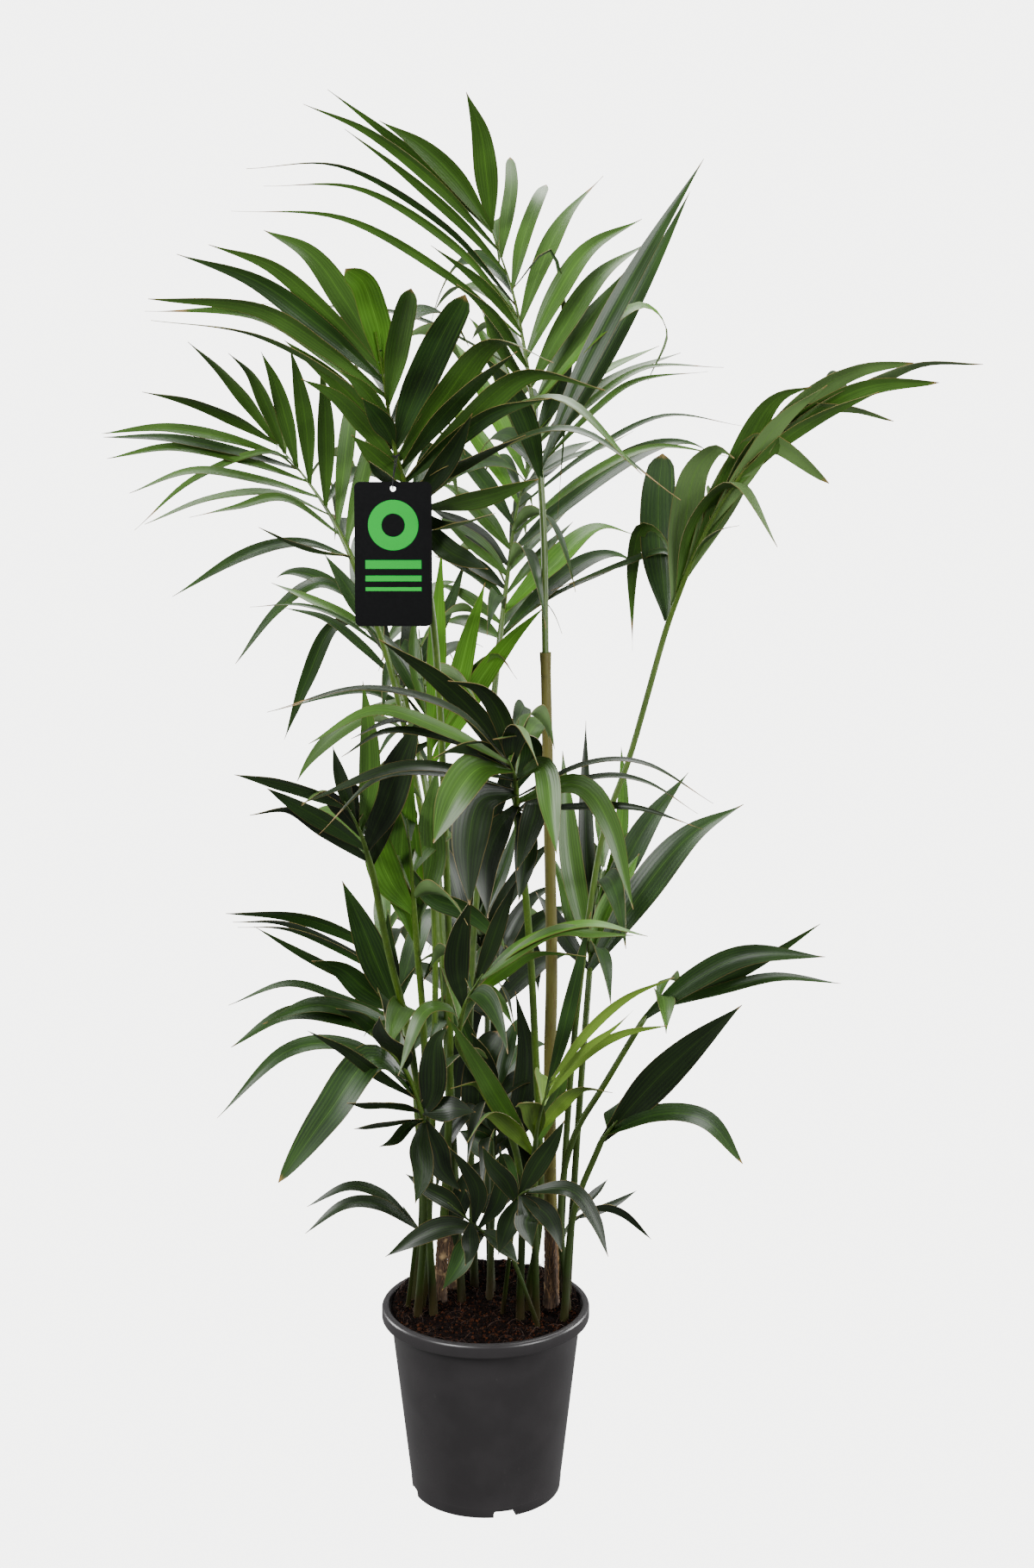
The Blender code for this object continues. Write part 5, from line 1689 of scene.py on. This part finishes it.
def leaflet_width(share, taper, cut):
    """Half width of a leaflet, against its widest, from its narrow base to its drawn-out end."""
    low = BASE_WIDTH + (1 - BASE_WIDTH) * np.sin(np.pi / 2 * np.clip(share / WIDEST, 0, 1)) ** 1.2
    rest = np.clip((share - WIDEST) / (1 - WIDEST), 0, 1)
    high = np.cos(np.pi / 2 * rest) ** taper
    width = np.where(share < WIDEST, low, high)
    if cut:
        width = width * np.clip((1 - share) / cut, 0, 1) ** 0.6
    return np.maximum(width, 0.02)


def bezier(points, shares):
    """Points of a Bezier curve with four control points."""
    a, b, c, d = [np.array(point, float) for point in points]
    s = shares.reshape(-1, 1)
    return a * (1 - s) ** 3 + 3 * b * s * (1 - s) ** 2 + 3 * c * s ** 2 * (1 - s) + d * s ** 3


def add_leaflet(heap, line, width, facing, leaves, rng, slot, end):
    """Adds one leaflet: a thin closed blade, folded at its midrib, waved at its edges and turned a little."""
    taper, cut, dry = end
    count = len(line) - 1
    shares = np.linspace(0, 1, count + 1)
    sides, normals = leaflet_frames(np.array(line), facing)
    turn = rng.uniform(-0.22, 0.22) + rng.uniform(-0.45, 0.45) * shares
    c = np.cos(turn).reshape(-1, 1)
    s = np.sin(turn).reshape(-1, 1)
    sides, normals = sides * c + normals * s, normals * c - sides * s
    half = width / 2 * leaflet_width(shares, taper * rng.uniform(0.85, 1.15), cut)
    fold = leaves.fold * rng.uniform(0.6, 1.5) * (1.4 - 0.8 * shares)
    ripple = np.sin(shares * rng.uniform(9, 15) + rng.uniform(0, 6)) * 0.05 * half
    top = []
    uvs = []
    for reach in ACROSS:
        up = abs(reach) * half * np.sin(fold) + ripple * reach
        out = reach * half * np.cos(fold)
        top.append(line + sides * out.reshape(-1, 1) + normals * up.reshape(-1, 1))
        uvs.append(np.column_stack([np.full(count + 1, 0.5 + reach / 2), shares * (1 + dry)]))
    top = np.stack(top, axis=1)
    uvs = np.stack(uvs, axis=1).reshape(-1, 2)
    under = top - normals[:, None, :] * leaves.thickness
    wide = len(ACROSS)
    total = (count + 1) * wide
    faces = []
    slots = []
    for row in range(count):
        for k in range(wide - 1):
            a = row * wide + k
            faces.append((a, a + 1, a + wide + 1, a + wide))
            slots.append(slot)
            faces.append((a + total, a + wide + total, a + wide + 1 + total, a + 1 + total))
            slots.append(UNDERSIDE_AND_SHEEN)
        for a, b in ((row * wide, row * wide + wide), ((row + 2) * wide - 1, (row + 1) * wide - 1)):
            faces.append((a, b, b + total, a + total))
            slots.append(UNDERSIDE_AND_SHEEN)
    for row, step in ((0, 1), (count, -1)):
        ring = [row * wide + k for k in range(wide)][::step]
        for a, b in zip(ring, ring[1:]):
            faces.append((b, a, a + total, b + total))
            slots.append(UNDERSIDE_AND_SHEEN)
    points = np.vstack([top.reshape(-1, 3), under.reshape(-1, 3)])
    heap.add(points, faces, np.vstack([uvs, uvs]), slots)


def inside_arch(path, inset):
    """Middle line, on the front view, of a leaflet whose outer edge was read: it lies inside the arch."""
    inner = []
    for before, point, after in zip(path, path[1:], path[2:]):
        bend = (Vector(before) + Vector(after)) / 2 - Vector(point)
        share = min(bend.length / FULL_BEND, 1.0)
        inner.append(Vector(point) + bend.normalized() * share * inset)
    return [Vector(path[0]), *inner, Vector(path[-1])]


def laid_line(frond, path, rng, segments):
    """Line of one listed leaflet: it starts on the rib and swings to its side's depth."""
    shares = [k / SEARCH_STEPS for k in range(SEARCH_STEPS + 1)]
    t = min(shares, key=lambda share: (along(frond.rachis, share) - Vector(path[0])).length)
    side = 0 if path[-1][0] < along(frond.rachis, t)[0] else 1
    depth = frond.depth_at(t)
    swing = frond.swing[side] * rng.uniform(0.55, 1.0)
    points = [rachis_point(frond, t)]
    for k, (right, down) in enumerate(path[1:], 1):
        points.append(on_view(right, down, depth + swing * (k / (len(path) - 1)) ** 1.2))
    return even_line(points, 0.0, 1.0, segments + 1)


def laid_facing(line, rng):
    """Direction, square to a laid leaflet, that its upper surface turns to: upward and to the eye."""
    heading = Vector(unit(line[-1:] - line[:1])[0])
    upward = UP - heading * heading.z
    forward = TOWARD_EYE - heading * heading.dot(TOWARD_EYE)
    if upward.dot(forward) < 0:
        upward.negate()
    level = 1 - heading.z ** 2
    return upward * rng.uniform(0.5, 0.9) * level + forward * rng.uniform(0.55, 0.8)


def leaflet_line(frond, side, row, rng, segments):
    """Line of one leaflet, from the rib in an arch to the blade's outline, and its level heading."""
    t = frond.spring[0] + (frond.spring[1] - frond.spring[0]) * row
    start = rachis_point(frond, t)
    right, down = along(frond.left if side == 0 else frond.right, row)
    depth = frond.depth_at(t) + frond.swing[side]
    tip = on_view(right + rng.uniform(-TIP_SPREAD, TIP_SPREAD),
                  down + rng.uniform(-TIP_SPREAD, TIP_SPREAD),
                  depth + rng.uniform(-TIP_DEPTH_SPREAD, TIP_DEPTH_SPREAD))
    chord = tip - start
    heading = chord.normalized()
    lift = (UP - heading * heading.z) * frond.lift * chord.length * rng.uniform(0.8, 1.2)
    middle = (start + tip) / 2 + lift
    hang = (UP - heading * heading.z * 0.5) * frond.droop * chord.length * rng.uniform(0.4, 1.6)
    controls = (start, (start + middle * 2) / 3, (middle * 2 + tip) / 3 + hang + heading * hang.length, tip)
    level = Vector((heading.x, heading.y, 0))
    if level.length > 0.05:
        level.normalize()
    return bezier(controls, np.linspace(0, 1, segments + 1)), level


class KENTIA_OT_leaflets(Operator):
    """Make the leaflets of every leaf, each leaf as one joined piece in place of its blade"""
    bl_idname = "kentia.leaflets"
    bl_label = "Leaflets"

    def execute(self, context):
        colours = context.scene.kentia_colours
        leaves = context.scene.kentia_leaves
        skins = self.skins(colours)
        for index, frond in enumerate(FRONDS):
            rng = random.Random(SEED * 100 + index)
            heap = Heap()
            for skin, width, end, *path in LAID.get(frond.name, ()):
                inset = width * EDGE_SHARE.get(frond.name, 0.0)
                line = laid_line(frond, inside_arch(path, inset), rng, leaves.segments)
                facing = np.array(laid_facing(line, rng))
                size = width * MM * leaves.width_scale * LAID_WIDTH
                add_leaflet(heap, line, size, facing, leaves, rng, skin, end)
            for side in (0, 1):
                self.spread(frond, side, leaves, rng, heap)
            self.reach_out(frond, leaves, rng, heap)
            nodes = SPLIT_BLADES.get(frond.name, ("frond_" + frond.name,))
            name = "leaflets_" + frond.name
            used = sorted(set(heap.slots))
            heap.slots = [used.index(slot) for slot in heap.slots]
            finish_piece(heap.piece(name), name, [skins[slot] for slot in used], nodes, 50)
        return {"FINISHED"}

    def reach_out(self, frond, leaves, rng, heap):
        """Leaflets that go straight back from the rib, and straight forward, hardly seen from the front."""
        back, forward, length = DEEP_LEAFLETS.get(frond.name, (0, 0, 0))
        plain, other = SHADES[frond.shade]
        for count, bearing in ((back, 90), (forward, -90)):
            for k in range(count):
                start = rachis_point(frond, (k + rng.uniform(0.1, 0.6)) / count)
                angle = math.radians(bearing + rng.uniform(-BEARING_SPREAD, BEARING_SPREAD))
                level = Vector((math.cos(angle), math.sin(angle), 0))
                room = REAR_LIMIT - start.y if bearing > 0 else start.y - FRONT_LIMIT
                reach = min(length * MM * rng.uniform(0.75, 1.1), room)
                droop = rng.uniform(-0.10, 0.20)
                controls = (start,
                            start + (level * 0.30 + UP * 0.20) * reach,
                            start + (level * 0.72 + UP * 0.22) * reach,
                            start + (level - UP * droop) * reach)
                line = bezier(controls, np.linspace(0, 1, leaves.segments + 1))
                across = Vector((level.y, -level.x, 0)) * rng.choice((-0.7, 0.7))
                width = frond.width * MM * leaves.width_scale * rng.uniform(0.75, 1.0)
                skin = other if rng.random() < FRESH_SHARE else plain
                add_leaflet(heap, line, width, np.array(UP + across), leaves, rng, skin, POINTED)

    def spread(self, frond, side, leaves, rng, heap):
        """Leaflets of one side that follow the leaf's outline."""
        count = frond.count[side]
        plain, other = SHADES[frond.shade]
        for k in range(count):
            row = (k + rng.uniform(-0.2, 0.2)) / max(count - 1, 1)
            row = min(max(row, 0.0), 1.0)
            line, level = leaflet_line(frond, side, row, rng, leaves.segments)
            open_share = frond.face[side]
            facing = UP * (1 - 0.5 * open_share) + level * 0.35 + TOWARD_EYE * open_share
            width = frond.width * MM * leaves.width_scale * rng.uniform(0.85, 1.12)
            width *= 1 - 0.25 * max(row - 0.75, 0) / 0.25
            skin = other if rng.random() < FRESH_SHARE else plain
            add_leaflet(heap, line, width, np.array(facing), leaves, rng, skin, POINTED)

    def skins(self, colours):
        """The leaflets' skins, in the order of their numbers."""
        vein = colours.leaf_vein
        kinds = (
            ("waxy_leaflet_deep", colours.leaf_deep, 1.7, [c * 0.6 for c in vein], 0.38),
            ("waxy_leaflet_fresh", colours.leaf_fresh, 1.35, vein, 0.40),
            # Painted backlight: a lighter green and paler veins for leaflets that light shines through from
            # behind
            ("waxy_leaflet_bright", colours.leaf_painted_backlight, 1.5, [c * 1.6 for c in vein], 0.44),
            ("waxy_leaflet_shaded", colours.leaf_shaded, 1.8, [c * 0.3 for c in vein], 0.42),
            ("tender_leaflet", colours.young, 1.4, hex_colour("#788f3c"), 0.45),
            # The underside's own paler green, which on some upper faces also serves as painted sheen
            ("leaflet_underside", colours.leaf_under_and_sheen, 1.3, vein, 0.55),
        )
        return [leaf_skin(name, green, [c * paler for c in green], line, roughness)
                for name, green, paler, line, roughness in kinds]


# Card and tie

class KENTIA_OT_card(Operator):
    """Make the hanging card"""
    bl_idname = "kentia.card"
    bl_label = "Hanging card"

    def execute(self, context):
        colours = context.scene.kentia_colours
        deselect()
        bpy.ops.mesh.primitive_plane_add(size=1.0)
        piece = context.active_object
        bpy.ops.object.mode_set(mode="EDIT")
        bpy.ops.mesh.select_all(action="SELECT")
        bpy.ops.transform.resize(value=(CARD_WIDTH, CARD_HEIGHT, 1))
        bpy.ops.mesh.bevel(offset=CARD_CORNER, offset_type="OFFSET", segments=6, affect="VERTICES")
        bpy.ops.mesh.select_all(action="SELECT")
        bpy.ops.mesh.extrude_region_move(TRANSFORM_OT_translate={"value": (0, 0, CARD_THICKNESS)})
        bpy.ops.object.mode_set(mode="OBJECT")
        close_and_face_out(piece, FINE_MERGE_DISTANCE)
        deselect()
        up = CARD_HEIGHT / 2 - CARD_HOLE_DROP
        bpy.ops.mesh.primitive_cylinder_add(vertices=24, radius=CARD_HOLE_RADIUS, depth=HOLE_CUTTER_LENGTH,
                                            location=(0, up, 0))
        cut_away(piece, context.active_object)
        mesh = piece.data
        for layer in list(mesh.uv_layers):
            mesh.uv_layers.remove(layer)
        layer = mesh.uv_layers.new(name="leaf_map")
        for loop in mesh.loops:
            point = mesh.vertices[loop.vertex_index].co
            layer.data[loop.index].uv = (point.x, point.y)
        for face in mesh.polygons:
            face.material_index = 0 if face.normal.z > 0.9 else 1
        piece.location = on_view(*CARD_CENTRE, CARD_DEPTH)
        piece.rotation_euler = (math.radians(90 - CARD_LEAN), 0.0, 0.0)
        finish_piece(piece, "plant_card", [printed_card(colours), card_core(colours)], ("tag",), 30)
        return {"FINISHED"}


class KENTIA_OT_tie(Operator):
    """Make the thread that the card hangs by: two strands, two turns round the leaf's rib and a knot"""
    bl_idname = "kentia.tie"
    bl_label = "Tie"

    def execute(self, context):
        frond = next(frond for frond in FRONDS if frond.name == "upper_left")
        share = min(range(101), key=lambda k: abs(along(frond.rachis, k / 100)[1] - TIE_TOP_DOWN)) / 100
        rib = rachis_point(frond, share)
        rib_run = (rachis_point(frond, share + 0.02) - rachis_point(frond, share - 0.02)).normalized()
        side = rib_run.cross(Vector((0, 1, 0))).normalized()
        front = side.cross(rib_run).normalized()
        if front.y > 0:
            front = -front
        knot = rib + front * (TIE_REACH + TIE_RADIUS)
        heap = Heap()
        section = round_section(6)
        self.strands(heap, section, knot, side)
        ring = []
        for k in range(COIL_STEPS + 1):
            angle = 2 * math.pi * COIL_TURNS * k / COIL_STEPS
            turn = front * math.cos(angle) + side * math.sin(angle)
            climb = TIE_RADIUS * 2.2 * (k / COIL_STEPS - 0.5)
            ring.append(rib + turn * (TIE_REACH + 0.0003) + rib_run * climb)
        sweep(heap, ring, [TIE_RADIUS] * len(ring), np.array(rib_run), section)
        bow = []
        for k in range(LOOP_STEPS + 1):
            angle = 2 * math.pi * k / LOOP_STEPS
            bow.append(knot + (side * math.cos(angle) + rib_run * math.sin(angle)) * 0.0011
                       + front * 0.0005 * math.sin(2 * angle))
        sweep(heap, bow, [TIE_RADIUS] * len(bow), np.array(front), section, caps=False)
        material = spun_thread(context.scene.kentia_colours)
        finish_piece(heap.piece("card_thread"), "card_thread", [material], ("tag_tie",), 60)
        return {"FINISHED"}

    def strands(self, heap, section, knot, side):
        """Two strands from the card's hole, one over each face of the card, up to the knot."""
        lean = math.radians(CARD_LEAN)
        upward = Vector((0, math.sin(lean), math.cos(lean)))
        forward = Vector((0, -math.cos(lean), math.sin(lean)))
        card = on_view(*CARD_CENTRE, CARD_DEPTH)
        hole = card + upward * (CARD_HEIGHT / 2 - CARD_HOLE_DROP)
        edge = card + upward * (CARD_HEIGHT / 2 + TIE_RADIUS)
        clear = forward * (CARD_THICKNESS + TIE_RADIUS)
        for sway, near in ((0.0012, clear), (-0.0012, -clear)):
            corners = (hole + near * 0.2, hole + near, edge + near, knot + side * sway)
            line = even_line(corners, 0, 1, STRAND_POINTS)
            sweep(heap, soften(line, 6), [TIE_RADIUS] * len(line), (1, 0, 0.1), section)


# Stage

# Soft lights: the setting that holds their power, their diameter and place in metres, and what they aim at
LEAF_AIM = (0.04, 0.0, 0.85)
POT_AIM = (0.0, 0.0, 0.5)
LIGHTS = {
    "key": ("key", 1.5, (-2.0, -2.4, 2.7), LEAF_AIM),
    "fill": ("fill", 1.8, (2.6, -2.0, 1.6), LEAF_AIM),
    "back": ("back", 2.6, (0.3, 1.3, 3.5), LEAF_AIM),
    "edge_left": ("edge", 1.2, (-2.3, 1.0, 0.9), POT_AIM),
    "edge_right": ("edge", 1.2, (2.3, 1.0, 0.9), POT_AIM),
}


class KENTIA_OT_stage(Operator):
    """Make the camera, the floor and the soft studio lights"""
    bl_idname = "kentia.stage"
    bl_label = "Stage"

    def execute(self, context):
        stage = context.scene.kentia_stage
        self.camera(context)
        deselect()
        bpy.ops.mesh.primitive_circle_add(vertices=96, radius=stage.floor_radius, fill_type="NGON")
        floor = context.active_object
        floor.name = "paper_floor"
        deselect()
        bpy.ops.mesh.primitive_uv_sphere_add(segments=64, ring_count=32, radius=stage.floor_radius * 0.999)
        wall = context.active_object
        wall.name = "paper_wall"
        paper = paper_floor(context.scene.kentia_colours.floor, stage.paper)
        for item in (floor, wall):
            item.data.materials.append(paper)
            item.visible_diffuse = False
            item.visible_glossy = False
            item.visible_shadow = False
        world = bpy.data.worlds.new("studio")
        world.use_nodes = True
        sky = world.node_tree.nodes.get("Background") or world.node_tree.nodes.new("ShaderNodeBackground")
        sky.inputs["Color"].default_value = (1, 1, 1, 1)
        sky.inputs["Strength"].default_value = stage.sky
        context.scene.world = world
        for name, (setting, size, place, aim) in LIGHTS.items():
            self.light(name, getattr(stage, setting), size, Vector(place), Vector(aim))
        return {"FINISHED"}

    def camera(self, context):
        """Camera at the eye of the front view."""
        lens = bpy.data.cameras.new("camera")
        lens.sensor_width = FILM
        lens.lens = VIEW_SCALE / VIEW_HEIGHT * FILM
        lens.clip_end = 4 * context.scene.kentia_stage.floor_radius
        camera = bpy.data.objects.new("camera", lens)
        camera.location = EYE
        camera.rotation_euler = (math.pi / 2 - TILT, 0, 0)
        context.scene.collection.objects.link(camera)
        context.scene.camera = camera

    def light(self, name, power, size, place, aim):
        """Round soft light."""
        lamp = bpy.data.lights.new(name, "AREA")
        lamp.energy = power
        lamp.shape = "DISK"
        lamp.size = size
        item = bpy.data.objects.new(name, lamp)
        item.location = place
        item.rotation_euler = (aim - place).to_track_quat("-Z", "Y").to_euler()
        bpy.context.scene.collection.objects.link(item)


class KENTIA_PT_panel(Panel):
    """Sizes, colours and pieces of the palm"""
    bl_label = "Kentia palm"
    bl_idname = "KENTIA_PT_panel"
    bl_space_type = "VIEW_3D"
    bl_region_type = "UI"
    bl_category = "Palm"

    def draw(self, context):
        """Lists the settings, and a button for each piece."""
        for owner, label in SETTINGS.items():
            box = self.layout.box()
            box.label(text=label)
            group = getattr(context.scene, owner)
            for name in group.__annotations__:
                box.prop(group, name)
        for piece in PIECES:
            self.layout.operator(piece.bl_idname)


SETTINGS = {
    "kentia_colours": "Colours",
    "kentia_pot": "Pot",
    "kentia_soil": "Compost",
    "kentia_leaves": "Leaflets",
    "kentia_stage": "Stage",
}
GROUPS = (KENTIA_PG_colours, KENTIA_PG_pot, KENTIA_PG_soil, KENTIA_PG_leaves, KENTIA_PG_stage)
PIECES = (KENTIA_OT_stage, KENTIA_OT_pot, KENTIA_OT_soil, KENTIA_OT_trunks, KENTIA_OT_stalks,
          KENTIA_OT_leaflets, KENTIA_OT_card, KENTIA_OT_tie)


def register():
    """Adds the panel, the pieces' operators and the settings."""
    for item in (*GROUPS, *PIECES, KENTIA_PT_panel):
        bpy.utils.register_class(item)
    for owner, group in zip(SETTINGS, GROUPS):
        setattr(bpy.types.Scene, owner, PointerProperty(type=group))


def unregister():
    """Takes away what register added."""
    for owner in SETTINGS:
        delattr(bpy.types.Scene, owner)
    for item in (KENTIA_PT_panel, *reversed(PIECES), *reversed(GROUPS)):
        bpy.utils.unregister_class(item)


def main():
    """Makes the stage and every piece."""
    register()
    for piece in PIECES:
        family, name = piece.bl_idname.split(".")
        getattr(getattr(bpy.ops, family), name)()


if __name__ == "__main__":
    main()
